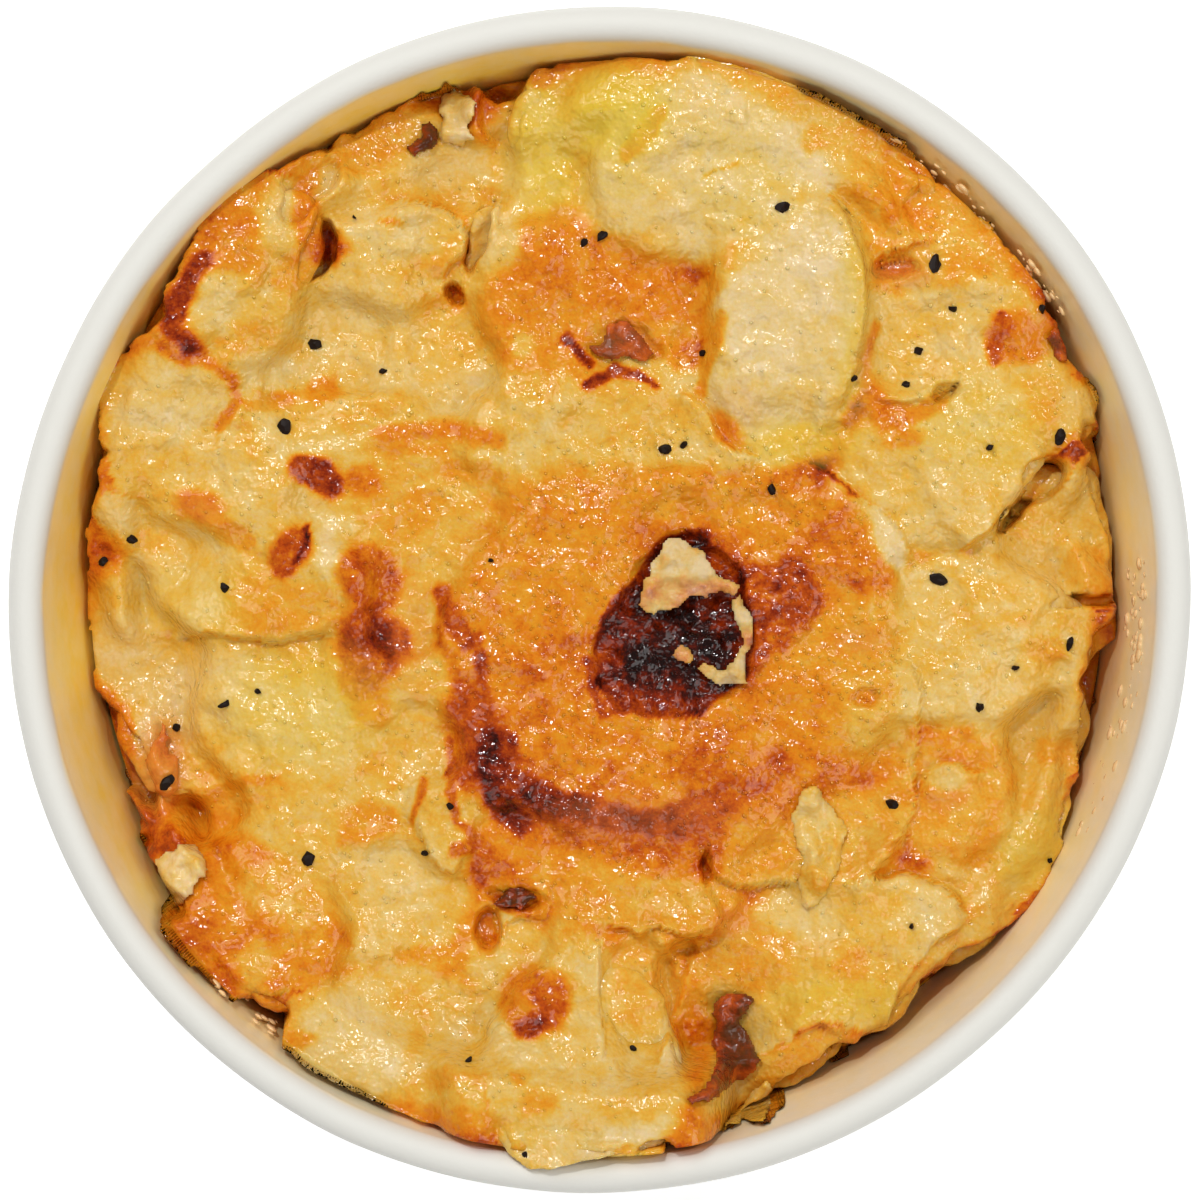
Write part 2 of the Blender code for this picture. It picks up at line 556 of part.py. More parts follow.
def place(piece, pile):
    """Places one piece under everything placed before it and returns its mesh."""
    where = footprint(piece, pile.x, pile.y)
    sag = pile.settled(pile.surface + piece.lift * MM, where)
    mesh = slab_mesh(piece)
    for vertex in mesh.vertices:
        x, y = vertex.co.x, vertex.co.y
        above = vertex.co.z / (piece.thick * MM)
        lumps = PIECE_LUMPS * noise.noise(Vector((x, y, piece.x)) / PIECE_LUMP_LENGTH)
        if piece.thick > THIN:
            lumps += blister_height(x, y)
        depth = piece.thick * MM - vertex.co.z
        top = pile.sampled(sag, x, y)
        if piece.spills:
            beyond = max(math.hypot(x, y) - RIM_INNER_RADIUS + SPILL_REACH, 0) / SPILL_REACH
            left = 1 - SPILL_THINNING * min(beyond, 1)
            depth *= left
            top = max(top, spill_height(math.hypot(x, y)) + piece.thick * MM * left)
        vertex.co.z = top - depth + above * lumps
    if not piece.spills:
        keep_off_wall(mesh, WALL_GAP)
    pile.clear_of_ceiling(mesh, where, mesh.vertices)
    if not piece.spills:
        keep_off_wall(mesh, WALL_GAP)
    return mesh


def peppered(mesh, pile):
    """Fuses to a piece the pepper flakes that lie on the part of it that shows."""
    tree = BVHTree.FromPolygons(
        [v.co for v in mesh.vertices], [tuple(p.vertices) for p in mesh.polygons]
    )
    flakes = bpy.data.collections.new("pepper")
    for x, y, length, width, turn in PEPPER:
        hit = tree.ray_cast(Vector((x * MM, y * MM, 2 * BOWL_HEIGHT)), Vector((0, 0, -1)))[0]
        if hit is None or pile.sampled(pile.ceiling, x * MM, y * MM) < HIGH_ABOVE / 2:
            continue
        shape = bmesh.new()
        bmesh.ops.create_icosphere(shape, subdivisions=1, radius=1)
        for vertex in shape.verts:
            vertex.co *= 1 + PEPPER_LUMPS * noise.noise(vertex.co * 2 + Vector((x, y, 0)))
        size = Matrix.Diagonal((length * MM, width * MM, PEPPER_HEIGHT, 1))
        spot = Matrix.Translation(hit) @ Matrix.Rotation(math.radians(turn), 4, "Z")
        shape.transform(spot @ size)
        flake = bpy.data.meshes.new("pepper")
        shape.to_mesh(flake)
        shape.free()
        flakes.objects.link(bpy.data.objects.new("pepper", flake))
    if not flakes.objects:
        bpy.data.collections.remove(flakes)
        return mesh
    print(f"{mesh.name} carries {len(flakes.objects)} pepper flakes")
    base = bpy.data.objects.new(mesh.name, mesh)
    bpy.context.scene.collection.objects.link(base)
    bpy.context.scene.collection.children.link(flakes)
    union = base.modifiers.new("Fuse the pepper", "BOOLEAN")
    union.operation = "UNION"
    union.operand_type = "COLLECTION"
    union.collection = flakes
    union.solver = "EXACT"
    graph = bpy.context.evaluated_depsgraph_get()
    fused = bpy.data.meshes.new_from_object(base.evaluated_get(graph))
    for flake in list(flakes.objects):
        bpy.data.objects.remove(flake)
    bpy.data.collections.remove(flakes)
    bpy.data.objects.remove(base)
    name = mesh.name
    bpy.data.meshes.remove(mesh)
    fused.name = name
    return triangulated(fused)


def spill_height(radius):
    """The underside of the piece that has run up over the rim: a ramp and then a level tip."""
    roll_r, roll_z = ROLL_CENTRE
    shoulder = ROLL_RADIUS * math.sqrt(0.5)
    ramp = roll_z + shoulder + radius - (roll_r - shoulder)
    return min(ramp, roll_z + ROLL_RADIUS) + SPILL_CLEARANCE


def keep_off_wall(mesh, gap):
    """Draws in whatever would touch the tapered wall."""
    for vertex in mesh.vertices:
        radius = math.hypot(vertex.co.x, vertex.co.y)
        room = wall_inner_radius(vertex.co.z) - gap
        if radius > room:
            vertex.co.x *= room / radius
            vertex.co.y *= room / radius


def main():
    clear_scene()
    gratin = bpy.data.collections.new("potato_gratin")
    bpy.context.scene.collection.children.link(gratin)
    add_node(bowl_wall_mesh(), "paper", gratin)
    add_node(bowl_base_mesh(), "paper", gratin)
    pile = Pile()
    for piece in reversed(PIECES):
        mesh = peppered(place(piece, pile), pile)
        pile.ceiling = np.fmin(pile.ceiling, pile.heights(mesh, footprint(piece, pile.x, pile.y), -1))
        add_node(mesh, piece.food, gratin)
        heights = [v.co.z / MM for v in mesh.vertices]
        print(f"{piece.name}: {min(heights):.1f} to {max(heights):.1f} mm, {len(mesh.polygons)} triangles")
    add_node(bed_mesh(pile), "sauce", gratin)


main()
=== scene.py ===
# %% [markdown]
# # A potato gratin in its paper bowl
# The dish is looked at from straight above: a round white paper bowl, filled to the rim with
# slices of potato under melted, browned cheese. The frame holds the plain solids of every slice.
# This lesson turns them into food: finer surfaces, ragged edges, browning, gloss and crumbs.

import math
from collections import namedtuple

import bmesh
import bpy
import numpy as np
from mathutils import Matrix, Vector
from mathutils.bvhtree import BVHTree


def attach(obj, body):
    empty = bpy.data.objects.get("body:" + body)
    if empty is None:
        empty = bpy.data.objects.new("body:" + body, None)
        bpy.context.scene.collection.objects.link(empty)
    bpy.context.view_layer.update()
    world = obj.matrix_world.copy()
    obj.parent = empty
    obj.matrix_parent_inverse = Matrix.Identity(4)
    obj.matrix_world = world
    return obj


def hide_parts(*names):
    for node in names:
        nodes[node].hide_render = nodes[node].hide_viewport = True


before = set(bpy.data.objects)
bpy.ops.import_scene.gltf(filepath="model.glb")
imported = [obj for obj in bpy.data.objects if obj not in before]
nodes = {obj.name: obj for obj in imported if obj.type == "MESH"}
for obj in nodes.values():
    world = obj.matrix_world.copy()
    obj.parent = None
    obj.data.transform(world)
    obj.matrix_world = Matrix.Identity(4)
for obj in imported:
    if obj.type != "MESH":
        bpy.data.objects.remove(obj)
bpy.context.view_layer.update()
MM = 0.001
print(len(nodes), "solids in the frame")

# %% [markdown]
# ## Places
# Features are easiest to read off as places in the camera's square picture, 1200 points wide,
# with the point (0, 0) at its top left. The camera hangs straight above the bowl, so a place in
# the picture is a place on the food, and one scale turns the one into the other.

# %% From the picture to the food
PICTURE_MIDDLE = (600.0, 599.0)
MM_PER_POINT = 0.0983


def place_x(across):
    """Millimetres right of the bowl's middle for a place counted from the picture's left."""
    return (across - PICTURE_MIDDLE[0]) * MM_PER_POINT


def place_y(down):
    """Millimetres above the bowl's middle, as seen, for a place counted from the picture's top."""
    return (PICTURE_MIDDLE[1] - down) * MM_PER_POINT


def on_food(places):
    """Places in the picture as rows of millimetres."""
    return np.array([(place_x(x), place_y(y)) for x, y in places])


print("The picture's edge lies", round(place_x(1200), 1), "mm from the middle")

# %% [markdown]
# ## Lumps
# Food is uneven at every size. A soft random field gives that: random numbers on the corners of
# a cubic lattice, blended in between. With numpy it is worked out for all vertices at once.

# %% A soft random field
LATTICE = np.random.RandomState(11).uniform(-1, 1, (64, 64, 64))


def lumps(points, size, seed=0):
    """Soft random values between -1 and 1 at points in mm, with lumps of about the given size."""
    scaled = points / size + seed * 7.31
    cell = np.floor(scaled).astype(np.int64)
    part = scaled - cell
    part = part * part * (3 - 2 * part)
    total = np.zeros(len(points))
    for corner in range(8):
        step = np.array([corner & 1, corner >> 1 & 1, corner >> 2 & 1])
        weight = np.prod(np.where(step, part, 1 - part), axis=1)
        total += weight * LATTICE[tuple(((cell + step) % 64).T)]
    return total


def pushed(points, size, reach, seed=0):
    """The points moved about sideways and up by a soft random field, which ruffles edges."""
    moves = [lumps(points, size, seed + 3 + axis) for axis in range(3)]
    return points + reach * np.stack(moves, axis=1)


def drift(points, size, seed):
    """Soft random steps sideways, one for each point."""
    return np.stack([lumps(points, size, seed), lumps(points, size, seed + 2)], axis=1)


trial = np.random.RandomState(1).rand(999, 3) * 50
print("A lump is as high as", round(float(lumps(trial, 3).max()), 2))

# %% [markdown]
# ## Finer surfaces
# Each slice is a slab of a few hundred triangles. A copy of it is rounded with Subdivision
# Surface, then wrapped in a new even skin with Remesh, which gives small equal faces wherever
# the slab was long and thin. Small equal faces are what a sculptor needs to add relief.

# %% Make the fine skins
SKIN = 0.42
CRUST_SKIN = 0.34
THIN_SKIN = 0.26
BED_SKIN = 0.6
THIN_PIECES = ("flake_large", "flake_strip", "chunk_hanging_southeast")
PAPER_NODES = ("bowl_wall", "bowl_base")


def in_scene(name, data):
    """A new object in the scene."""
    made = bpy.data.objects.new(name, data)
    bpy.context.scene.collection.objects.link(made)
    return made


def skin_size(name):
    """The size of the faces on a piece, in mm: the thinner the piece, the finer."""
    if name in THIN_PIECES or name.startswith("bacon"):
        return THIN_SKIN
    return {"crust_disc": CRUST_SKIN, "gratin_bed": BED_SKIN}.get(name, SKIN)


def fine_skin(node, size):
    """A copy of a solid with a rounded, evenly divided surface, its modifiers still live."""
    mesh = nodes[node].data.copy()
    work = bmesh.new()
    work.from_mesh(mesh)
    bmesh.ops.remove_doubles(work, verts=work.verts, dist=0.000002)
    work.to_mesh(mesh)
    work.free()
    piece = in_scene(node + "_baked", mesh)
    rounder = piece.modifiers.new("Round", "SUBSURF")
    rounder.levels = rounder.render_levels = 2
    skin = piece.modifiers.new("Skin", "REMESH")
    skin.mode = "VOXEL"
    skin.voxel_size = size * MM
    soft = piece.modifiers.new("Soften", "SMOOTH")
    soft.factor = 0.5
    soft.iterations = 4
    return piece


food_nodes = [name for name in nodes if name not in PAPER_NODES]
skinned = {name: fine_skin(name, skin_size(name)) for name in food_nodes}
graph = bpy.context.evaluated_depsgraph_get()
foods = {}
for name, piece in skinned.items():
    mesh = bpy.data.meshes.new_from_object(piece.evaluated_get(graph))
    mesh.name = piece.name
    old = piece.data
    piece.modifiers.clear()
    piece.data = mesh
    bpy.data.meshes.remove(old)
    foods[name] = piece
print(sum(len(p.data.polygons) for p in foods.values()), "faces on", len(foods), "pieces of food")

# %% [markdown]
# ## Relief
# The slices' edges are frayed, their tops pitted and blistered. Every vertex is pushed about by
# soft random fields of several sizes: the large ones bend outlines, the small ones roughen.

# %% Ruffle and roughen


def corners(mesh):
    """The vertices of a mesh as rows of millimetres."""
    flat = np.empty(len(mesh.vertices) * 3)
    mesh.vertices.foreach_get("co", flat)
    return flat.reshape(-1, 3) / MM


def outward(mesh):
    """The direction that each vertex faces."""
    flat = np.empty(len(mesh.vertices) * 3)
    mesh.vertices.foreach_get("normal", flat)
    return flat.reshape(-1, 3)


def reshape(mesh, points):
    """Moves the vertices to new places, in millimetres."""
    mesh.vertices.foreach_set("co", (points * MM).ravel())
    mesh.update()


def ridges(points, size, seed=0):
    """Wrinkles: 1 along thin crooked ridges, 0 between them."""
    return 1 - np.abs(lumps(points, size, seed)) * 2


# how ragged, lumpy and grainy each kind of food is, in mm
RELIEF = {"slice": (0.4, 0.22, 0.1), "crust": (0.3, 0.2, 0.16), "bacon": (0.3, 0.25, 0.12)}
for name, piece in foods.items():
    points = corners(piece.data)
    kind = name.split("_")[0]
    ragged, lumpy, grainy = RELIEF.get(kind, RELIEF["slice"])
    ruffled = pushed(points, 2.6, ragged)
    ruffled = pushed(ruffled, 1.1, lumpy * 0.8, 5)
    rise = lumpy * lumps(points, 2.2, 21) + grainy * lumps(points, 0.9, 31)
    reshape(piece.data, ruffled + outward(piece.data) * rise[:, None])
    piece.data.shade_smooth()
print("Relief on", len(foods), "pieces")

# %% Trim the slice over the rim
# the outline, on the picture, that it doesn't pass
SPILL_EDGE = ((440, 1112), (486, 1126), (495, 1145), (510, 1160), (530, 1167), (555, 1165), (580, 1158),
              (620, 1151), (660, 1143), (700, 1122), (740, 1100))
# at the rim's height, true places lie a little farther in than they look
SPILL_INWARD = 0.985
spilled = foods["slice_rim_south"].data
points = corners(spilled)
edge_x, edge_y = on_food(SPILL_EDGE).T
southmost = np.interp(points[:, 0], edge_x, edge_y * SPILL_INWARD)
points[:, 1] = np.maximum(points[:, 1], southmost + 0.12 * lumps(points, 0.8, 97))
reshape(spilled, points)
print("The slice now ends", round(float(-points[:, 1].min()), 1), "mm south of the middle")

# %% [markdown]
# ## Browning
# Melted cheese runs from cream over yellow and orange to nearly black as it bakes. One number
# per vertex, from 0 to 1, says how far a place has browned; at the feet of lips, in the gaps and
# under two patches it also carries painted shade. Patches are painted on it one after another,
# as with a soft brush whose edge wanders, each towards its own degree of browning.

# %% The degrees of browning
SLICE_TOAST = {
    "pale_north": 0.12, "pale_east": 0.13, "yellow_north": 0.32, "yellow_upper": 0.38,
    "northeast": 0.42, "upper_east": 0.22, "nub_east": 0.40, "smooth_east": 0.24, "point_east": 0.22,
    "back_centre": 0.25, "toasted_north": 0.48, "inner_northwest": 0.22, "large_west": 0.28,
    "long_northwest": 0.35, "small_northwest": 0.50, "big_west": 0.28, "southwest_pale": 0.25,
    "southwest_golden": 0.55, "rim_south": 0.20, "hollow_south": 0.50, "below_crust": 0.45,
    "lump_southeast": 0.40,
}
PIECE_TOAST = {"slice_" + name: toast for name, toast in SLICE_TOAST.items()}
PIECE_TOAST |= {"crust_disc": 0.55, "gratin_bed": 0.72}
USUAL_TOAST = 0.30
print(len(PIECE_TOAST), "pieces have a degree of their own")

# %% Patches of browning
# a patch is an oval on the picture: its middle, half axes and turn, its browning, its soft edge
Patch = namedtuple("Patch", "x y length width turn toast soft", defaults=(0.4,))


def rows_of(kind, *rows):
    """Gives the numbers in each row their names."""
    return [kind(*row) for row in rows]


PATCHES = rows_of(
    Patch,
    # north-west
    (350, 150, 60, 28, 35, 0.46), (325, 182, 18, 13, 20, 0.14), (500, 118, 26, 36, 0, 0.66),
    (498, 130, 13, 13, 0, 0.48), (440, 170, 55, 22, 8, 0.20), (530, 150, 34, 62, 0, 0.20),
    (540, 78, 12, 9, 20, 0.66), (575, 88, 10, 11, 0, 0.46), (385, 235, 50, 28, 0, 0.14),
    (389, 222, 12, 4, -8, 0.60), (430, 265, 32, 13, 8, 0.38), (350, 325, 55, 50, 0, 0.19),
    (500, 245, 20, 38, 0, 0.15), (520, 300, 34, 55, -20, 0.55), (588, 272, 72, 50, 0, 0.57),
    (560, 345, 52, 38, 0, 0.50), (562, 214, 16, 14, 0, 0.62), (522, 345, 12, 15, 0, 0.26),
    (545, 385, 18, 13, 0, 0.36), (690, 352, 26, 16, 20, 0.64), (420, 440, 55, 18, 5, 0.50),
    (475, 470, 40, 15, -10, 0.50), (322, 388, 15, 14, 0, 0.56), (265, 402, 22, 7, 10, 0.46),
    (360, 412, 30, 12, 20, 0.40), (316, 476, 33, 17, -38, 0.87, 0.2), (362, 482, 20, 17, 0, 0.60),
    (291, 553, 19, 28, -20, 0.77, 0.2), (424, 610, 14, 62, 0, 0.34), (432, 690, 15, 44, 0, 0.22),
    (362, 705, 26, 26, 0, 0.58), (332, 556, 16, 42, 20, 0.10), (235, 500, 26, 60, 10, 0.19),
    (201, 508, 31, 17, -20, 0.64), (232, 532, 38, 11, -38, 0.50), (160, 402, 62, 40, 0, 0.15),
    (120, 515, 25, 17, -30, 0.13), (185, 595, 62, 30, -20, 0.17), (280, 607, 55, 27, 0, 0.47),
    (213, 226, 13, 25, 5, 0.62), (247, 222, 18, 14, -30, 0.58), (236, 262, 28, 18, 0, 0.52),
    (290, 215, 26, 35, -20, 0.14), (195, 350, 17, 9, -35, 0.80), (215, 302, 24, 30, 0, 0.15),
    (270, 370, 36, 20, 0, 0.15), (330, 248, 18, 18, 0, 0.80), (430, 545, 40, 60, 0, 0.36),
    (400, 515, 40, 26, 20, 0.47),
    # north-east
    (640, 185, 60, 40, 20, 0.14), (700, 120, 52, 60, 0, 0.11), (790, 100, 62, 17, -30, 0.36),
    (815, 137, 15, 13, 0, 0.46), (852, 150, 26, 42, 20, 0.34), (868, 195, 24, 15, 20, 0.47),
    # the second oval in the next row, at (925, 210), is a painted shadow under an overhanging slice
    (893, 212, 11, 13, 0, 0.60), (925, 210, 22, 26, 0, 0.50), (970, 215, 40, 22, -42, 0.40),
    (960, 265, 52, 18, 10, 0.44), (735, 255, 24, 15, 20, 0.42), (708, 288, 24, 10, 40, 0.42),
    (690, 298, 11, 8, 20, 0.52), (762, 330, 38, 80, 0, 0.06), (740, 402, 32, 26, 0, 0.11),
    (726, 428, 13, 24, 40, 0.62), (805, 440, 42, 18, 10, 0.30), (885, 285, 24, 10, -10, 0.50),
    (905, 345, 32, 40, 0, 0.26), (905, 437, 24, 10, 10, 0.50), (1018, 338, 31, 26, 0, 0.60),
    (960, 320, 30, 20, -30, 0.24), (975, 410, 52, 38, 0, 0.20), (945, 495, 30, 60, -20, 0.20),
    (1045, 415, 24, 32, 0, 0.33), (1080, 405, 18, 26, 0, 0.20), (1020, 510, 36, 10, 45, 0.54),
    (1050, 540, 60, 48, 0, 0.28), (1090, 568, 20, 24, 0, 0.42), (650, 420, 60, 30, 0, 0.34),
    # the crust disc
    (680, 495, 130, 26, -8, 0.44), (530, 530, 70, 44, 30, 0.46), (523, 574, 11, 8, 10, 0.68),
    (490, 640, 26, 60, 10, 0.56), (505, 800, 20, 26, 10, 0.96, 0.4), (527, 815, 26, 15, -10, 0.90, 0.5),
    (480, 765, 9, 16, 10, 0.50, 0.5), (502, 745, 16, 16, 0, 0.84), (473, 770, 22, 24, 0, 0.78),
    (600, 832, 110, 20, -3, 0.66), (690, 845, 30, 40, 10, 0.60), (760, 768, 60, 24, 15, 0.58),
    (860, 768, 40, 22, 5, 0.60), (825, 700, 50, 45, 0, 0.46), (875, 722, 34, 34, 0, 0.29),
    (866, 698, 13, 10, 0, 0.60), (888, 540, 34, 11, -67, 0.04, 0.25), (870, 590, 26, 9, -25, 0.70),
    (860, 640, 24, 10, 10, 0.52),
    # south-west
    (120, 645, 36, 36, 0, 0.12), (205, 690, 58, 48, 10, 0.13), (300, 720, 62, 44, -20, 0.19),
    # the first oval in the next row, at (120, 725), is painted shade in the gap below a slice's edge
    (120, 725, 14, 44, 30, 0.66), (148, 735, 13, 22, -10, 0.05), (212, 785, 32, 24, 0, 0.38),
    (210, 815, 52, 22, 10, 0.48), (226, 850, 18, 13, 20, 0.68), (203, 900, 44, 46, 0, 0.55),
    (195, 935, 32, 17, -45, 0.63), (240, 885, 20, 48, 0, 0.50), (255, 962, 14, 28, 0, 0.30),
    (305, 975, 46, 9, 12, 0.52), (340, 932, 16, 16, 0, 0.53), (360, 822, 37, 20, 3, 0.50, 0.25),
    (300, 822, 40, 30, 0, 0.27), (365, 870, 60, 22, 8, 0.20), (310, 890, 60, 36, 0, 0.32),
    (420, 925, 30, 15, 0, 0.25), (430, 955, 42, 11, 0, 0.43), (350, 1050, 60, 52, -20, 0.13),
    (302, 1038, 16, 10, 0, 0.52), (444, 1078, 20, 14, 0, 0.47), (540, 1100, 22, 14, 0, 0.48),
    (478, 1120, 26, 12, -10, 0.50), (520, 1075, 9, 8, 0, 0.50), (535, 1002, 35, 38, 0, 0.62, 0.25),
    (548, 998, 18, 24, 0, 0.74), (527, 1026, 16, 12, 10, 0.83), (487, 930, 15, 24, 0, 0.62),
    (505, 868, 38, 16, -35, 0.62), (445, 828, 20, 38, 20, 0.26), (430, 700, 16, 40, 0, 0.33),
    (590, 880, 55, 22, 0, 0.46),
    # south-east
    (900, 640, 70, 50, 0, 0.27), (1045, 650, 24, 16, 0, 0.42), (1040, 715, 30, 48, 0, 0.27),
    (1052, 748, 22, 14, 0, 0.43), (945, 775, 22, 12, 0, 0.18), (932, 820, 15, 32, 0, 0.48),
    (952, 800, 17, 11, 0, 0.50), (972, 845, 32, 20, -20, 0.44), (1035, 850, 24, 48, -35, 0.30),
    (755, 850, 48, 27, 5, 0.47), (865, 828, 36, 38, 0, 0.40), (800, 912, 36, 24, 0, 0.15),
    (900, 900, 50, 22, -15, 0.13), (760, 960, 42, 34, 0, 0.43), (850, 966, 18, 14, 0, 0.47),
    (830, 1003, 60, 18, 5, 0.36), (670, 895, 60, 32, 0, 0.34), (645, 862, 44, 14, -10, 0.56),
    (640, 985, 34, 52, -10, 0.36), (682, 945, 14, 9, 0, 0.46), (728, 922, 20, 12, 0, 0.50),
    (692, 1030, 20, 18, 0, 0.62), (800, 1062, 52, 16, 30, 0.42), (560, 1065, 40, 30, 0, 0.20),
    (640, 1100, 50, 20, 15, 0.34),
)
print(len(PATCHES), "patches")

# %% Strokes of browning
# a stroke is a crooked line on the picture, with its half width and browning
Stroke = namedtuple("Stroke", "points width toast")
STROKES = rows_of(
    Stroke,
    (((205, 262), (188, 280), (176, 305), (174, 330), (186, 348)), 11, 0.85),
    (((160, 345), (185, 362), (212, 365), (232, 378), (240, 398), (222, 425)), 6, 0.62),
    (((380, 432), (420, 425), (460, 430), (500, 441)), 8, 0.55),
    (((305, 528), (302, 545), (297, 562)), 4, 0.88), (((566, 333), (580, 350), (592, 362)), 6, 0.84),
    (((588, 382), (620, 370), (655, 384)), 6, 0.82), (((656, 114), (646, 130), (630, 151)), 8, 0.64),
    (((703, 173), (720, 168), (738, 162)), 2, 0.46), (((700, 388), (712, 345), (723, 318)), 6, 0.50),
    (((880, 325), (868, 350), (857, 388)), 6, 0.62),
    (((872, 398), (888, 417), (912, 415), (936, 404)), 9, 0.61),
    (((1001, 316), (992, 336), (995, 360)), 7, 0.82),
    (((1048, 288), (1060, 318), (1066, 348)), 10, 0.74),
    (((815, 466), (832, 475), (851, 491)), 3.5, 0.82),
    (((840, 210), (862, 260), (864, 310), (850, 378), (832, 420)), 9, 0.27),
    (((444, 592), (452, 620), (467, 642)), 9, 0.76), (((478, 638), (484, 670), (478, 702)), 7, 0.76),
    (((466, 700), (476, 735), (494, 768), (520, 800)), 24, 0.74),
    (((505, 790), (560, 812), (610, 832), (660, 836), (700, 826)), 26, 0.66),
    (((492, 750), (505, 775), (540, 790), (580, 806), (640, 818), (692, 812)), 12, 0.82),
    (((530, 760), (570, 776), (620, 782), (650, 792)), 7, 0.60),
    (((690, 813), (720, 801), (750, 786), (782, 764)), 15, 0.72),
    (((700, 812), (704, 840), (706, 868)), 14, 0.68),
    (((488, 735), (486, 770), (496, 800), (520, 822)), 10, 0.88),
    (((168, 828), (152, 840), (142, 862)), 8, 0.72),
    (((180, 815), (210, 796), (240, 785), (272, 775)), 6, 0.50),
    (((455, 850), (480, 848), (510, 868), (532, 896)), 8, 0.66),
    (((412, 816), (420, 796), (426, 780)), 4, 0.66),
    (((450, 742), (451, 790), (461, 820), (482, 847)), 5, 0.66),
    (((798, 1031), (818, 1026), (842, 1027)), 3, 0.70), (((705, 690), (600, 715), (585, 660)), 5, 0.80),
    (((822, 705), (818, 712), (815, 722)), 5, 0.74),
)
print(len(STROKES), "strokes")

# %% Char and accents
# the hollow of char in the crust disc, and the red-brown cheese beside it
CHAR = ((640, 562), (668, 534), (692, 530), (714, 545), (738, 560), (748, 590), (752, 640), (748, 672),
        (728, 694), (700, 714), (650, 717), (616, 708), (594, 680), (590, 655), (604, 616), (626, 585))
SINGED = ((722, 545), (760, 566), (800, 560), (822, 582), (822, 612), (800, 640), (770, 655), (745, 690),
          (735, 640), (735, 590))
# places painted last: the redder parts of the char, the fat blisters, and a few islands
ACCENTS = rows_of(
    Patch,
    (160, 764, 20, 42, -10, 0.34), (173, 778, 6, 24, 0, 0.60), (368, 577, 31, 37, 15, 0.80, 0.25),
    (371, 645, 37, 41, 0, 0.76, 0.25), (384, 640, 13, 20, 20, 0.84), (352, 680, 16, 20, 10, 0.64, 0.3),
    (368, 706, 18, 16, 0, 0.55), (545, 985, 24, 20, 0, 0.66), (512, 905, 24, 9, -20, 0.84),
    (560, 806, 60, 14, -10, 0.84), (650, 824, 50, 12, -8, 0.80), (310, 222, 14, 36, 12, 0.64),
    (306, 188, 12, 22, -35, 0.56), (850, 640, 46, 34, 0, 0.48), (880, 900, 26, 16, 0, 0.36),
    (800, 700, 40, 34, 0, 0.52), (560, 500, 70, 30, 0, 0.50), (1018, 338, 30, 26, 0, 0.60),
    (548, 560, 60, 40, 20, 0.50), (232, 232, 26, 26, 0, 0.56), (890, 415, 24, 16, 10, 0.60),
    (1040, 620, 40, 12, 0, 0.34), (650, 703, 46, 12, 0, 0.78), (722, 556, 14, 22, -35, 0.74),
    (612, 668, 12, 24, 10, 0.82), (716, 612, 20, 26, 0, 0.86), (690, 536, 22, 6, 0, 0.84),
)
print(len(ACCENTS), "accents")

# %% Tints
# where the potato is yellower than the rest, and where the food is pinkish: here the sixth
# number is the strength of the tint
YELLOW = rows_of(
    Patch,
    (615, 112, 52, 46, 0, 1.0), (545, 150, 38, 66, 0, 0.75), (600, 175, 60, 22, 0, 0.4),
    (855, 320, 16, 110, 0, 0.4), (800, 442, 50, 22, 0, 0.5), (300, 705, 76, 56, 0, 0.45),
    (1035, 845, 28, 48, -35, 0.5), (840, 1000, 66, 24, 0, 0.5), (980, 425, 60, 50, 0, 0.35),
    (190, 600, 66, 34, 0, 0.3), (740, 170, 60, 60, 0, 0.25),
)
ROSY = rows_of(
    Patch,
    (160, 762, 26, 46, -10, 1.0), (900, 272, 28, 12, 0, 0.7), (632, 335, 24, 12, -35, 0.6),
    (730, 925, 26, 14, 0, 0.4), (950, 800, 22, 14, 0, 0.5), (858, 640, 24, 12, 0, 0.5),
    (640, 815, 90, 22, 0, 0.4), (866, 355, 9, 30, -15, 0.5), (200, 508, 24, 14, -20, 0.4),
    (410, 640, 20, 60, 0, 0.3), (735, 405, 26, 22, 0, 0.3),
)
print(len(YELLOW), "yellow patches and", len(ROSY), "rosy ones")

# %% [markdown]
# ## Seen from above
# The camera is near, so what stands higher seems to lie a little farther out from the middle of
# the picture. Two helpers lead from a true place to the seen one and back.

# %% True places and seen ones
# mm above the table, and above the level at which the picture's scale is true
CAMERA_HEIGHT = 580.3
PICTURE_DISTANCE = 527.3


def seen(flat, height):
    """Where the camera sees a place."""
    return flat * (PICTURE_DISTANCE / (CAMERA_HEIGHT - height))[:, None]


def unseen(flat, height):
    """The true place of something seen on the picture, the other way round."""
    return flat * ((CAMERA_HEIGHT - height) / PICTURE_DISTANCE)[:, None]


rim_place = seen(np.array([[55.0, 0.0]]), np.array([62.0]))
print("A place 55 mm out on the rim is seen", round(float(rim_place[0, 0]), 1), "mm out")

# %% [markdown]
# ## A soft brush
# A brush needs to know how far a place lies from a line, or inside an outline or an oval. The
# places are moved about a little first, so that no edge comes out smooth.

# %% Distances and soft edges


def wandered(points):
    """The points as seen from above, moved about a little so that no patch has a smooth edge."""
    wander = drift(points, 2.4, 41) * 0.4
    wander += drift(points, 0.9, 45) * 0.25
    return seen(points[:, :2], points[:, 2]) + wander


def line_walk(flat, line):
    """How far each point is from a crooked line, on which side, and how far along it comes."""
    line = on_food(line)
    nearest = np.full(len(flat), 1e9)
    side = np.zeros(len(flat))
    along = np.zeros(len(flat))
    walked = 0.0
    for start, end in zip(line[:-1], line[1:]):
        step = end - start
        length = np.hypot(*step)
        share = np.clip((flat - start) @ step / length**2, 0, 1)
        away = flat - start - share[:, None] * step
        distance = np.hypot(away[:, 0], away[:, 1])
        closer = distance < nearest
        nearest = np.where(closer, distance, nearest)
        left = step[0] * away[:, 1] - step[1] * away[:, 0]
        side = np.where(closer, np.sign(left), side)
        along = np.where(closer, walked + share * length, along)
        walked += length
    return nearest, side, along / walked


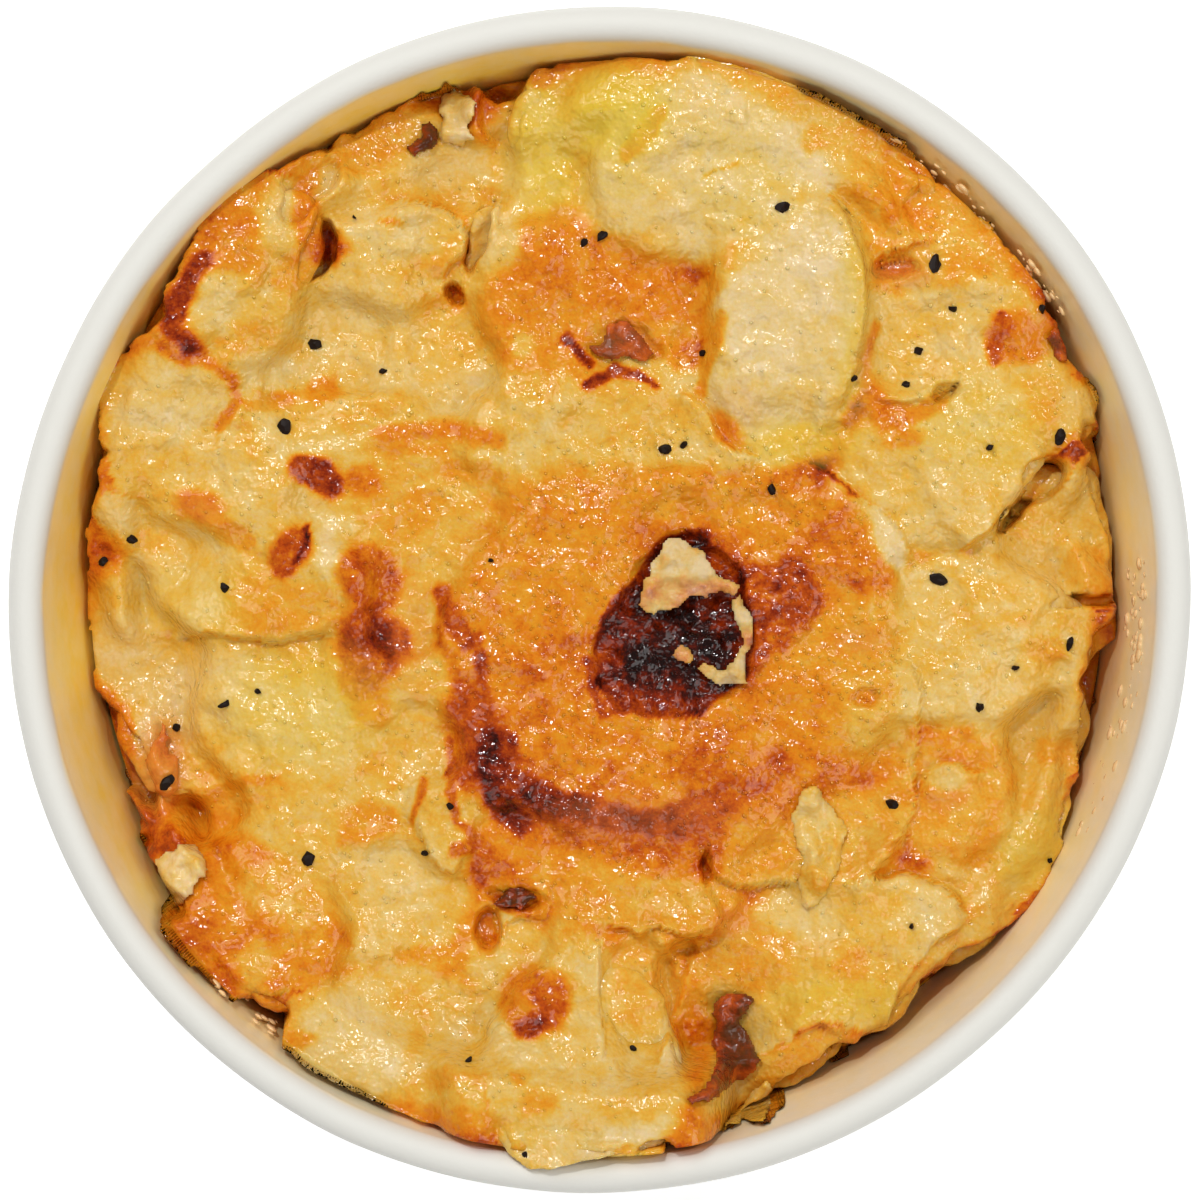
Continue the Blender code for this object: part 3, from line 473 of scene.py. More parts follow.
def depth_inside(flat, outline):
    """How deep each point lies inside a closed outline, negative outside, in mm."""
    distance = line_walk(flat, (*outline, outline[0]))[0]
    ring = on_food(outline)
    crossings = np.zeros(len(flat), int)
    for (x1, y1), (x2, y2) in zip(ring, np.roll(ring, -1, axis=0)):
        between = (flat[:, 1] > y1) != (flat[:, 1] > y2)
        crossings += between & (flat[:, 0] < x1 + (flat[:, 1] - y1) * (x2 - x1) / (y2 - y1 + 1e-9))
    return np.where(crossings % 2, distance, -distance)


def eased(share):
    """A share between 0 and 1 with soft ends."""
    share = np.clip(share, 0, 1)
    return share * share * (3 - 2 * share)


def oval_cover(flat, spot, soft):
    """1 inside an oval, falling softly to 0 over its edge."""
    away = flat - (place_x(spot.x), place_y(spot.y))
    turn = math.radians(spot.turn)
    along = away[:, 0] * math.cos(turn) + away[:, 1] * math.sin(turn)
    across = away[:, 1] * math.cos(turn) - away[:, 0] * math.sin(turn)
    reach = np.hypot(along / spot.length, across / spot.width) / MM_PER_POINT
    return eased((1 + soft - reach) / (2 * soft))


print("A soft edge begins with", [round(float(eased(k / 8)), 2) for k in range(4)])

# %% Paint the browning
PATCH_STRENGTH = 0.85
STROKE_STRENGTH = 0.9
ACCENT_STRENGTH = 0.8
SINGED_TOAST = 0.68
CHAR_TOAST = 0.86


def browning(points, start):
    """How far each point has browned, from the piece's own degree and the patches over it."""
    flat = wandered(points)
    swirled = pushed(points, 5, 3, 50)
    toast = start + 0.1 * lumps(swirled, 4, 51) + 0.06 * lumps(swirled, 1.5, 53)
    for patch in PATCHES:
        toast += (patch.toast - toast) * PATCH_STRENGTH * oval_cover(flat, patch, patch.soft)
    for stroke in STROKES:
        distance = line_walk(flat, stroke.points)[0] / (stroke.width * MM_PER_POINT)
        toast += (stroke.toast - toast) * STROKE_STRENGTH * eased(1.5 - distance)
    streaks = 0.12 * ridges(swirled * (1, 2.5, 1), 2.4, 63)
    red = (SINGED_TOAST + streaks - toast) * 0.9
    toast += red * eased(depth_inside(flat, SINGED) / 1.2 + 0.5)
    in_char = depth_inside(flat, CHAR)
    deep = eased(in_char / 3.5) * 0.12 + 0.1 * lumps(swirled, 2.2, 61)
    toast += (CHAR_TOAST + deep - toast) * 0.95 * eased(in_char / 0.6 + 0.5)
    for patch in ACCENTS:
        toast += (patch.toast - toast) * ACCENT_STRENGTH * oval_cover(flat, patch, patch.soft)
    return np.clip(toast + 0.05 * lumps(points, 0.8, 57) + 0.05 * lumps(swirled, 2.6, 59), 0, 1)


def painted(points, patches):
    """How strongly a tint shows at each point."""
    flat = wandered(points)
    tint = np.zeros(len(points))
    for patch in patches:
        tint = np.maximum(tint, patch.toast * oval_cover(flat, patch, 0.5))
    return tint


def keep_value(mesh, name, values):
    """Stores one number per vertex under a name that materials can read."""
    mesh.attributes.new(name, "FLOAT", "POINT").data.foreach_set("value", values.astype(np.float32))


def paint(mesh, start):
    """Stores the browning and the tints of a piece of food on its vertices."""
    points = corners(mesh)
    keep_value(mesh, "toast", browning(points, start))
    keep_value(mesh, "yellow", painted(points, YELLOW))
    keep_value(mesh, "rosy", painted(points, ROSY))


sample = browning(np.array([[7.6, -5.2, 60.0]]), USUAL_TOAST)
print("The middle of the crust browns to", round(float(sample[0]), 2))

# %% [markdown]
# ## The skin of melted cheese
# Cheese has run over the slices and baked to one skin, so most of their edges show only as soft
# folds. The skin is a height field: the tops of the slices are measured on a fine grid, narrow
# valleys are filled the way a thick liquid fills them, and the result is draped over the whole
# dish. The bacon, the loose chunks and the flakes are left out, so that they lie on the skin.

# %% Measure the tops of the slices
CELL = 0.35
GRID_HALF = 53.2
EMPTY_LEVEL = 45.0
ABOVE_ALL = 80
grid_axis = np.arange(-GRID_HALF, GRID_HALF + CELL, CELL)
grid_x, grid_y = np.meshgrid(grid_axis, grid_axis, indexing="ij")
LOOSE = ("bacon", "flake", "chunk")
under_skin = [name for name in foods if name.split("_")[0] not in LOOSE]


def measured_tops(names):
    """The height of the highest piece in each cell in mm, and which piece it is."""
    verts, polygons, owner = [], [], []
    for number, name in enumerate(names):
        mesh = foods[name].data
        first = len(verts)
        verts += [tuple(row) for row in corners(mesh)]
        polygons += [tuple(first + i for i in p.vertices) for p in mesh.polygons]
        owner += [number] * len(mesh.polygons)
    tree = BVHTree.FromPolygons(verts, polygons)
    tops = np.full(grid_x.shape, EMPTY_LEVEL)
    piece_at = np.full(grid_x.shape, -1)
    down = Vector((0, 0, -1))
    for i, j in zip(*np.nonzero(np.hypot(grid_x, grid_y) < GRID_HALF)):
        hit, _, face, _ = tree.ray_cast(Vector((grid_axis[i], grid_axis[j], ABOVE_ALL)), down)
        if hit is not None:
            tops[i, j] = hit.z
            piece_at[i, j] = owner[face]
    return tops, piece_at


tops, piece_at = measured_tops(under_skin)
print("The highest top lies at", round(float(tops.max()), 1), "mm")

# %% Fill the valleys
SKIN_REACH = 2.8
EMPTY_TOAST = 0.6


def slid(field, dx, dy):
    """The field moved over by whole cells, its edge cells repeated."""
    wide = np.pad(field, 1, mode="edge")
    return wide[1 - dx : wide.shape[0] - 1 - dx, 1 - dy : wide.shape[1] - 1 - dy]


def grown(field, steps, pick):
    """Each cell takes the highest or lowest value within a round neighbourhood."""
    for step in range(steps):
        near = [slid(field, dx, dy) for dx, dy in ((1, 0), (-1, 0), (0, 1), (0, -1))]
        if step % 2:
            near += [slid(field, dx, dy) for dx, dy in ((1, 1), (-1, -1), (1, -1), (-1, 1))]
        for other in near:
            field = pick(field, other)
    return field


def blurred(field, passes):
    """A soft blur: each pass mixes in the neighbours."""
    for _ in range(passes):
        for dx, dy in ((1, 0), (0, 1)):
            field = (slid(field, dx, dy) + slid(field, -dx, -dy) + 2 * field) / 4
    return field


def sampled(field, points):
    """A field's value at points, between its cells."""
    u, v = (np.clip((points[:, k] + GRID_HALF) / CELL, 0, len(grid_axis) - 1.001) for k in (0, 1))
    i, j = u.astype(int), v.astype(int)
    u, v = u - i, v - j
    low = field[i, j] * (1 - v) + field[i, j + 1] * v
    high = field[i + 1, j] * (1 - v) + field[i + 1, j + 1] * v
    return low * (1 - u) + high * u


reach_cells = round(SKIN_REACH / CELL)
filled = grown(grown(tops, reach_cells, np.maximum), reach_cells, np.minimum)
skin_height = blurred(filled, 3)
# the last value is for cells without a piece, whose number is -1
degrees = [PIECE_TOAST.get(name, USUAL_TOAST) for name in under_skin] + [EMPTY_TOAST]
start_toast = blurred(np.array(degrees)[piece_at], 6)
brim_height = blurred(grown(skin_height, 12, np.maximum), 4)
print("Valleys were filled by up to", round(float((filled - tops).max()), 1), "mm")

# %% [markdown]
# ## Lips and gaps
# Here and there a slice's edge stays sharp: it stands as a lip over its neighbour. Each lip is a
# crooked line on the picture with its raised side on the left, walking along it. Gaps open
# between the slices, most of them beside the wall.

# %% The lips
# rise: how high the edge stands, reach: how far the raised side fades out, both in mm
Lip = namedtuple("Lip", "points rise reach", defaults=(0.9, 2.2))
LIPS = rows_of(
    Lip,
    # north-west
    (((300, 270), (309, 254), (313, 238), (315, 224), (320, 211), (312, 197), (300, 181), (284, 172),
      (262, 172), (246, 178), (238, 190)), 1.3),
    (((440, 280), (450, 262), (464, 252), (469, 238), (462, 222), (445, 210), (415, 203),
      (385, 206)), 1.1),
    (((505, 212), (498, 203), (484, 216), (481, 228), (488, 242), (474, 256), (458, 268)), 1.0),
    (((120, 362), (104, 372), (98, 390), (97, 415), (103, 440), (108, 462), (114, 484)), 1.2),
    (((140, 520), (128, 494), (110, 491), (89, 500), (92, 515), (108, 530)), 1.0),
    (((178, 641), (205, 632), (240, 638), (282, 640), (312, 633), (334, 634)), 1.2),
    (((240, 398), (236, 412), (220, 428), (214, 448)), 0.5),
    # north and centre
    (((760, 456), (736, 450), (722, 440), (712, 424), (704, 408), (694, 397), (678, 390)), 1.1),
    (((915, 560), (892, 520), (872, 505), (850, 490), (816, 466), (788, 454)), 0.7),
    # north-east
    (((868, 264), (880, 253), (906, 249), (928, 240), (909, 225), (903, 206), (918, 190), (922, 178),
      (905, 160), (886, 136), (868, 119)), 1.0),
    (((834, 416), (850, 385), (862, 350), (866, 300), (860, 250), (846, 215), (826, 185)), 1.0, 3.0),
    (((876, 398), (905, 402), (932, 400), (946, 392), (962, 379)), 0.8),
    (((1044, 455), (1070, 443), (1096, 431), (1093, 408), (1086, 384), (1070, 371)), 1.2),
    (((958, 549), (975, 538), (995, 522), (1008, 508), (1025, 490), (1035, 470), (1052, 454)), 1.5),
    (((1096, 450), (1080, 460), (1072, 472), (1061, 489), (1045, 498), (1020, 515), (1004, 532)), 1.0),
    (((1117, 611), (1090, 607), (1058, 603)), 1.0),
    # south-east
    (((1086, 674), (1098, 651), (1112, 632), (1117, 612)), 1.2),
    (((1064, 781), (1080, 765), (1087, 740), (1086, 710), (1082, 690), (1079, 665)), 1.2),
    (((880, 852), (905, 830), (916, 800), (913, 760), (919, 725), (921, 690), (908, 655)), 0.8, 3.0),
    (((985, 776), (962, 765), (942, 761), (926, 773), (921, 796)), 0.7),
    (((702, 846), (706, 867), (718, 880), (745, 886), (775, 884), (796, 882)), 1.2),
    (((870, 872), (890, 857), (905, 832)), 0.9),
    (((862, 1031), (886, 1027), (893, 1008), (903, 986), (920, 963), (931, 946), (950, 931),
      (967, 917), (958, 898), (936, 882), (906, 874), (870, 876), (845, 886)), 1.2),
    (((930, 966), (960, 949), (990, 938), (1016, 914), (1045, 880), (1062, 850), (1069, 820),
      (1066, 788)), 1.0),
    (((752, 1060), (775, 1046), (800, 1032), (816, 1026), (845, 1033), (862, 1031)), 1.0),
    # south-west
    (((600, 925), (625, 929), (641, 933), (656, 926), (686, 936), (708, 935), (721, 922), (718, 900),
      (707, 880)), 1.1),
    (((500, 946), (505, 926), (520, 914), (545, 918), (553, 900), (545, 888)), 0.9),
    (((410, 812), (424, 842), (438, 866), (450, 873), (462, 860), (478, 849)), 0.7),
    (((166, 905), (168, 930), (184, 958), (208, 976), (228, 996), (262, 1001), (285, 991),
      (302, 988)), 1.1),
    (((312, 985), (290, 1000), (283, 1020), (284, 1046)), 0.8),
    (((486, 1085), (488, 1112), (503, 1148), (525, 1162), (560, 1160), (600, 1150), (640, 1140)), 0.8),
    (((602, 1060), (600, 1000), (599, 940)), 0.6),
    (((690, 946), (684, 990), (668, 1030), (658, 1072)), 0.6),
)
print(len(LIPS), "lips")

# %% The gaps
# a gap is an oval like a patch, with its depth in mm
Gap = namedtuple("Gap", "x y length width turn depth")
GAPS = rows_of(
    Gap,
    (318, 250, 30, 15, 70, 4.5), (477, 240, 32, 9, 75, 3.5), (455, 292, 11, 8, -50, 3.0),
    (162, 290, 62, 11, 57, 5.0), (123, 350, 12, 8, 0, 4.0), (95, 462, 55, 10, 84, 6.0),
    (83, 560, 60, 6, 88, 5.0), (84, 645, 50, 6, -84, 6.0), (124, 750, 62, 15, -60, 6.0),
    (154, 872, 48, 9, -52, 5.0), (262, 1016, 26, 20, -35, 5.0), (215, 985, 40, 8, -42, 4.0),
    (500, 118, 20, 26, 0, 2.2), (310, 190, 40, 16, 45, 2.0), (950, 190, 90, 7, -42, 4.0),
    (1025, 270, 50, 7, -48, 4.0), (1062, 335, 40, 10, -62, 4.5), (1100, 480, 55, 9, -75, 4.5),
    (1042, 473, 20, 14, 20, 5.0), (1018, 512, 26, 7, 45, 2.5), (1116, 560, 40, 7, 88, 4.0),
    (1103, 655, 55, 16, 72, 5.0), (1088, 730, 60, 9, 84, 4.5), (1072, 805, 34, 7, 75, 6.0),
    (1085, 600, 30, 6, 5, 3.0), (938, 985, 62, 14, 42, 8.0), (862, 1042, 34, 7, 8, 5.0),
    (790, 1082, 60, 8, 32, 5.0), (700, 1132, 60, 6, 14, 4.0), (487, 928, 13, 22, 0, 2.2),
    (518, 898, 34, 10, -8, 1.2), (642, 990, 36, 52, 15, 1.4), (682, 948, 14, 10, 0, 1.2),
    (866, 697, 13, 10, 0, 0.9), (946, 390, 16, 8, 25, 1.6), (896, 268, 24, 9, 5, 1.3),
    (706, 866, 5, 16, 0, 1.8), (640, 340, 28, 12, -35, 1.0),
)
print(len(GAPS), "gaps")

# %% The food's edge along the wall, and places filled up to it
EDGE = (
    (97, 470), (94, 430), (95, 395), (105, 366), (125, 350), (150, 335), (166, 318), (175, 290), (192, 258),
    (204, 232), (218, 205), (235, 188), (262, 172), (283, 172), (330, 150), (375, 122), (430, 94), (450, 84),
    (480, 92), (500, 104), (520, 96), (528, 80), (560, 64), (600, 57), (640, 54), (665, 62), (680, 56),
    (700, 50), (730, 51), (755, 66), (773, 78), (795, 80), (845, 104), (868, 118), (905, 143), (930, 162),
    (960, 184), (990, 213), (1012, 226), (1030, 260), (1052, 288), (1058, 340), (1072, 366), (1088, 374),
    (1096, 400), (1096, 430), (1104, 460), (1108, 500), (1114, 520), (1114, 560), (1110, 588), (1119, 610),
    (1111, 638), (1091, 660), (1083, 682), (1088, 712), (1088, 740), (1081, 766), (1070, 786), (1071, 812),
    (1066, 842), (1047, 882), (1022, 916), (1000, 932), (960, 950), (934, 966), (915, 986), (901, 1006),
    (897, 1022), (862, 1036), (842, 1047), (821, 1064), (801, 1080), (790, 1096), (776, 1112), (764, 1124),
    (735, 1132), (700, 1136), (660, 1146), (600, 1154), (530, 1158), (487, 1148), (450, 1138), (420, 1136),
    (388, 1130), (348, 1113), (322, 1092), (298, 1072), (284, 1048), (284, 1020), (290, 1001), (262, 1003),
    (228, 998), (206, 978), (182, 959), (167, 932), (165, 906), (152, 875), (137, 850), (134, 832),
    (146, 822), (138, 800), (118, 762), (103, 720), (90, 680), (83, 640), (78, 600), (78, 560), (88, 520),
)
# each fill stands as high as the skin at the place that it is like, less a drop in mm
Fill = namedtuple("Fill", "x y length width turn like_x like_y drop")
FILLS = rows_of(
    Fill,
    (1094, 622, 30, 17, -25, 1060, 620, 0.3), (1102, 570, 22, 40, 0, 1075, 570, 1.0),
    (95, 625, 22, 60, 5, 125, 630, 0.8), (640, 1115, 60, 40, 10, 640, 1075, 0.2),
)
print("The edge has", len(EDGE), "corners")

# %% [markdown]
# ## The wall that holds the food
# The bowl is a cone cut off at both ends. The skin of cheese stops at its inside, and the paper
# is made on the same line later on.

# %% The inside of the bowl
RIM_RADIUS = 57.42
ROLL_RADIUS = 1.7
BOWL_HEIGHT = 62.0
BASE_LEVEL = 7.0
BASE_INNER_RADIUS = 44.0
WALL_CLEARANCE = 0.3
ROLL_MIDDLE = (RIM_RADIUS - ROLL_RADIUS, BOWL_HEIGHT - ROLL_RADIUS)
RIM_INNER_RADIUS = RIM_RADIUS - 2 * ROLL_RADIUS
WALL_SLOPE = (RIM_INNER_RADIUS - BASE_INNER_RADIUS) / (ROLL_MIDDLE[1] - BASE_LEVEL)


def inner_radius(height):
    """The inside radius of the tapered wall at a height."""
    return BASE_INNER_RADIUS + (height - BASE_LEVEL) * WALL_SLOPE


print("Inside, the rim is", 2 * RIM_INNER_RADIUS, "mm wide")

# %% [markdown]
# ## The relief of the skin
# The skin's height is changed in turns: it rises and drops at the lips, stands up to the food's
# edge beside the wall, falls into the gaps, swells to blisters and sinks where it is burnt.

# %% Lips stand up
LIP_SOFT = 0.22
LIP_ENDS = 0.08
LIP_FOOT = 1.2
DROP_SHARE = 0.6


def with_lips(ragged, height):
    """Raises the skin on one side of each lip and lowers it at the foot of the other."""
    for lip in LIPS:
        distance, side, along = line_walk(ragged, lip.points)
        ends = np.clip(np.minimum(along, 1 - along) / LIP_ENDS, 0, 1)
        step = np.clip(side * distance / LIP_SOFT, -1, 1)
        raised = lip.rise * np.exp(-distance / lip.reach) * (step + 1) / 2
        lowered = DROP_SHARE * lip.rise * np.exp(-distance / LIP_FOOT) * (1 - step) / 2
        height += ends * (raised - lowered)
    return height


print("The highest lip stands", max(lip.rise for lip in LIPS), "mm over its neighbour")

# %% Beside the wall
SKIN_LIFT = 0.25
NEAR_WALL = 45
CREVICE_DEPTH = 5.0
BRIM_DROP = 0.5
# the south side leans outwards, up to the wall, between two angles in degrees
SOUTH_LEAN = 2.0
LEAN_FROM, LEAN_TO, LEAN_ENDS = -132, -72, 12
SPILL_REST = Patch(545, 1135, 90, 62, 0, 0)


def along_wall(flat, points, ragged, height):
    """The skin stands up to the food's edge and falls into a crevice beyond it."""
    radius = np.hypot(*flat.T)
    near_wall = eased((radius - NEAR_WALL) / 3)
    brim = near_wall * eased(depth_inside(ragged, EDGE) / 1.1 + 0.5)
    turned = np.degrees(np.arctan2(flat[:, 1], flat[:, 0]))
    lean = eased((turned - LEAN_FROM) / LEAN_ENDS) * eased((LEAN_TO - turned) / LEAN_ENDS)
    lean = lean * eased((radius - 40) / 13)
    lean *= SOUTH_LEAN * (1 - oval_cover(ragged, SPILL_REST, 0.6))
    brim_level = sampled(brim_height, flat) + SKIN_LIFT - BRIM_DROP + lean
    height = height + lean * (1 - brim)
    height += brim * np.maximum(brim_level - height, 0)
    height += near_wall * np.maximum(brim_level - CREVICE_DEPTH - height, 0)
    climb = BASE_LEVEL + (radius + WALL_CLEARANCE - BASE_INNER_RADIUS) / WALL_SLOPE
    height += brim * np.maximum(climb - 0.4 * (1 + lumps(points, 1.4, 89)) - height, 0)
    return height


print("The crevice beside the wall is", CREVICE_DEPTH, "mm deep")

# %% Gaps, blisters and char
BLISTER = 0.6
CHAR_DEPTH = 1.3
SPILL = Patch(545, 1140, 56, 40, 0, 0)
SPILL_START = 50.5
SPILL_DIVE = 0.8


def with_gaps(ragged, height):
    """Fills some places, opens the gaps and swells the fat blisters."""
    for fill in FILLS:
        level = sampled(skin_height, on_food([(fill.like_x, fill.like_y)]))[0] + SKIN_LIFT - fill.drop
        height += oval_cover(ragged, fill, 0.35) * np.maximum(level - height, 0)
    for gap in GAPS:
        height -= gap.depth * oval_cover(ragged, gap, 0.2)
    for patch in (*PATCHES, *ACCENTS):
        if patch.toast > 0.7 and patch.soft < 0.3:
            height += BLISTER * oval_cover(ragged, patch, 0.5)
    toward_rim = eased((np.hypot(*ragged.T) - SPILL_START) / 2.5)
    return height - SPILL_DIVE * toward_rim * oval_cover(ragged, SPILL, 0.3)


def with_char(points, ragged, height):
    """Sinks and cracks the burnt hollow, and wrinkles the singed cheese beside it."""
    burnt = eased(depth_inside(ragged, CHAR) / 1.2 + 0.3)
    height -= burnt * (CHAR_DEPTH - 0.5 * ridges(points, 2.2, 91) - 0.3 * ridges(points, 1.1, 93))
    singed = eased(depth_inside(ragged, SINGED) / 1.0 + 0.3) * (1 - burnt)
    return height + singed * (0.3 + 0.35 * ridges(points, 1.6, 95))


print("The burnt hollow is", CHAR_DEPTH, "mm deep")

# %% The height of the skin everywhere
SKIN_STEPS = 310
SKIN_RADIUS = 53.7
FLOOR_OF_SKIN = 42.0
HIGHEST = 63.3


def skin_relief(flat, height):
    """The skin's height after small lumps, lips, gaps and char."""
    points = np.column_stack([flat, np.zeros(len(flat))])
    ragged = seen(flat, height)
    ragged += 0.35 * drift(points, 1.6, 71)
    ragged += 0.14 * drift(points, 0.7, 75)
    swirled = pushed(points, 4, 2, 80)
    height = height + 0.4 * lumps(swirled, 4.5, 81) + 0.22 * ridges(swirled, 3.4, 82)
    height += 0.26 * lumps(swirled, 1.9, 83) + 0.13 * lumps(points, 0.95, 85)
    height = along_wall(flat, points, ragged, with_lips(ragged, height))
    height = with_char(points, ragged, with_gaps(ragged, height))
    return np.minimum(height, HIGHEST)


def skin_at(flat):
    """The height of the skin at places seen from above, in mm."""
    height = skin_relief(flat, sampled(skin_height, flat) + SKIN_LIFT)
    return np.maximum(height, FLOOR_OF_SKIN + 1)


def even_disc(count):
    """A square grid wrapped onto a disc of radius 1 so that its cells stay about equal."""
    ticks = np.linspace(-1, 1, count + 1)
    u, v = np.meshgrid(ticks, ticks, indexing="ij")
    wide = np.abs(u) > np.abs(v)
    radius = np.where(wide, u, v)
    base = np.where(radius == 0, 1, radius)
    angle = np.where(wide, np.pi / 4 * v / base, np.pi / 2 - np.pi / 4 * u / base)
    return radius * np.cos(angle), radius * np.sin(angle)


disc_x, disc_y = even_disc(SKIN_STEPS)
flat = np.column_stack([disc_x.ravel(), disc_y.ravel()]) * SKIN_RADIUS
height = skin_at(flat)
print("The skin runs from", round(float(height.min()), 1), "to", round(float(height.max()), 1), "mm")

# %% [markdown]
# ## Drape the skin
# The heights become a mesh: a square grid wrapped onto a disc, with a side along the wall and a
# flat bottom deep in the food. Slices that would still poke through are pressed just below it.

# %% Drape the skin
# beside the wall, the skin dives by this many mm for each mm that it would reach too far
WALL_DIVE = 7.0
# how much browner the foot of a lip is painted, as painted shade
LIP_FOOT_SHADE = 0.22
# gaps are painted browner: partly real brown juice, partly painted shade
GAP_JUICE_AND_SHADE = 0.52


def folded(points, toast):
    """Painted shade: browner starting values along the foot of each lip and in the gaps, where the brown is
    partly real juice; painted light: a little paler beside each lip's raised edge.
    """
    flat = wandered(points)
    for lip in LIPS:
        distance, side, along = line_walk(flat, lip.points)
        # painted shade: a thin browner line at the foot of each lip
        foot = np.exp(-distance / 0.5) * (side < 0) * (np.minimum(along, 1 - along) > 0.02)
        toast = toast + LIP_FOOT_SHADE * min(lip.rise, 1) * foot
        # painted light: a little paler just beside each lip's raised edge
        toast = toast - 0.1 * np.exp(-distance / 0.6) * (side > 0)
    # the gaps are browned, partly as juice and partly as painted shade
    for gap in GAPS:
        toast = toast + (GAP_JUICE_AND_SHADE - toast) * 0.9 * oval_cover(flat, gap, 0.3)
    return toast


def started(points):
    """The degree of browning that the skin has before the brush."""
    return folded(points, sampled(start_toast, points))


def draped_skin():
    """The height field as a closed body: its top, a side along the wall and a flat bottom."""
    radius = np.hypot(flat[:, 0], flat[:, 1])
    excess = np.maximum(radius - inner_radius(height) + WALL_CLEARANCE, 0)
    level = np.maximum(height - WALL_DIVE * excess, FLOOR_OF_SKIN + 0.5)
    room = inner_radius(level) - WALL_CLEARANCE
    shrink = np.where(radius > room, room / np.maximum(radius, 1), 1)
    top = np.column_stack([flat * shrink[:, None], level])
    side = SKIN_STEPS + 1
    index = np.arange(side * side).reshape(side, side)
    cells = np.stack([index[:-1, :-1], index[1:, :-1], index[1:, 1:], index[:-1, 1:]], axis=-1)
    faces = cells.reshape(-1, 4).tolist()
    rim = [*index[:-1, 0], *index[-1, :-1], *index[:0:-1, -1], *index[0, :0:-1]]
    rim = [int(i) for i in rim]
    below = inner_radius(FLOOR_OF_SKIN) - WALL_CLEARANCE
    count = len(top)
    low = top[rim].copy()
    low[:, :2] *= (below / np.hypot(low[:, 0], low[:, 1]))[:, None]
    low[:, 2] = FLOOR_OF_SKIN
    verts = np.concatenate([top, low, [[0, 0, FLOOR_OF_SKIN]]])
    for k in range(len(rim)):
        n = (k + 1) % len(rim)
        faces.append([rim[n], rim[k], count + k, count + n])
        faces.append([count + n, count + k, count + len(rim)])
    mesh = bpy.data.meshes.new("cheese_skin")
    mesh.from_pydata((verts * MM).tolist(), [], faces)
    mesh.update()
    return mesh


cheese_mesh = draped_skin()
cheese_skin = in_scene("cheese_skin", cheese_mesh)
cheese_mesh.shade_smooth()
paint(cheese_mesh, started(corners(cheese_mesh)))
print("The skin has", len(cheese_mesh.polygons), "faces")

# %% Tuck the slices under the skin
TUCK_DEPTH = 0.2
TUCK_REACH = 2.5
TUCK_RADIUS = 45.0
NEAR_TOP = 1.5


def tucked(mesh):
    """Presses what would poke through the skin to just below it; open gaps still show the piece."""
    points = corners(mesh)
    high = points[:, 2] > sampled(skin_height, points) - NEAR_TOP
    level = skin_at(points[high, :2])
    over = points[high, 2] - level
    shut = np.hypot(points[high, 0], points[high, 1]) < TUCK_RADIUS
    for gap in GAPS:
        if gap.depth > TUCK_REACH:
            shut &= oval_cover(points[high, :2], gap, 0.8) < 0.02
    shut &= (over > -TUCK_DEPTH) & (over < TUCK_REACH)
    points[high, 2] = np.where(shut, level - TUCK_DEPTH, points[high, 2])
    reshape(mesh, points)


for name in under_skin:
    # the slice over the rim lies open
    if name != "slice_rim_south":
        tucked(foods[name].data)
    paint(foods[name].data, PIECE_TOAST.get(name, USUAL_TOAST))
print(len(under_skin), "pieces lie under the skin")

# %% [markdown]
# ## Loose leaves: bacon, chunks and flakes
# Some bits lie on the skin with a crisp, torn outline: bacon, chunks of potato, and dry flakes of
# cheese over the char. Each is cut out as an outline on the picture and filled with a fine grid
# that follows the skin. Its edge is thin and its middle thicker, as on a torn piece of food.

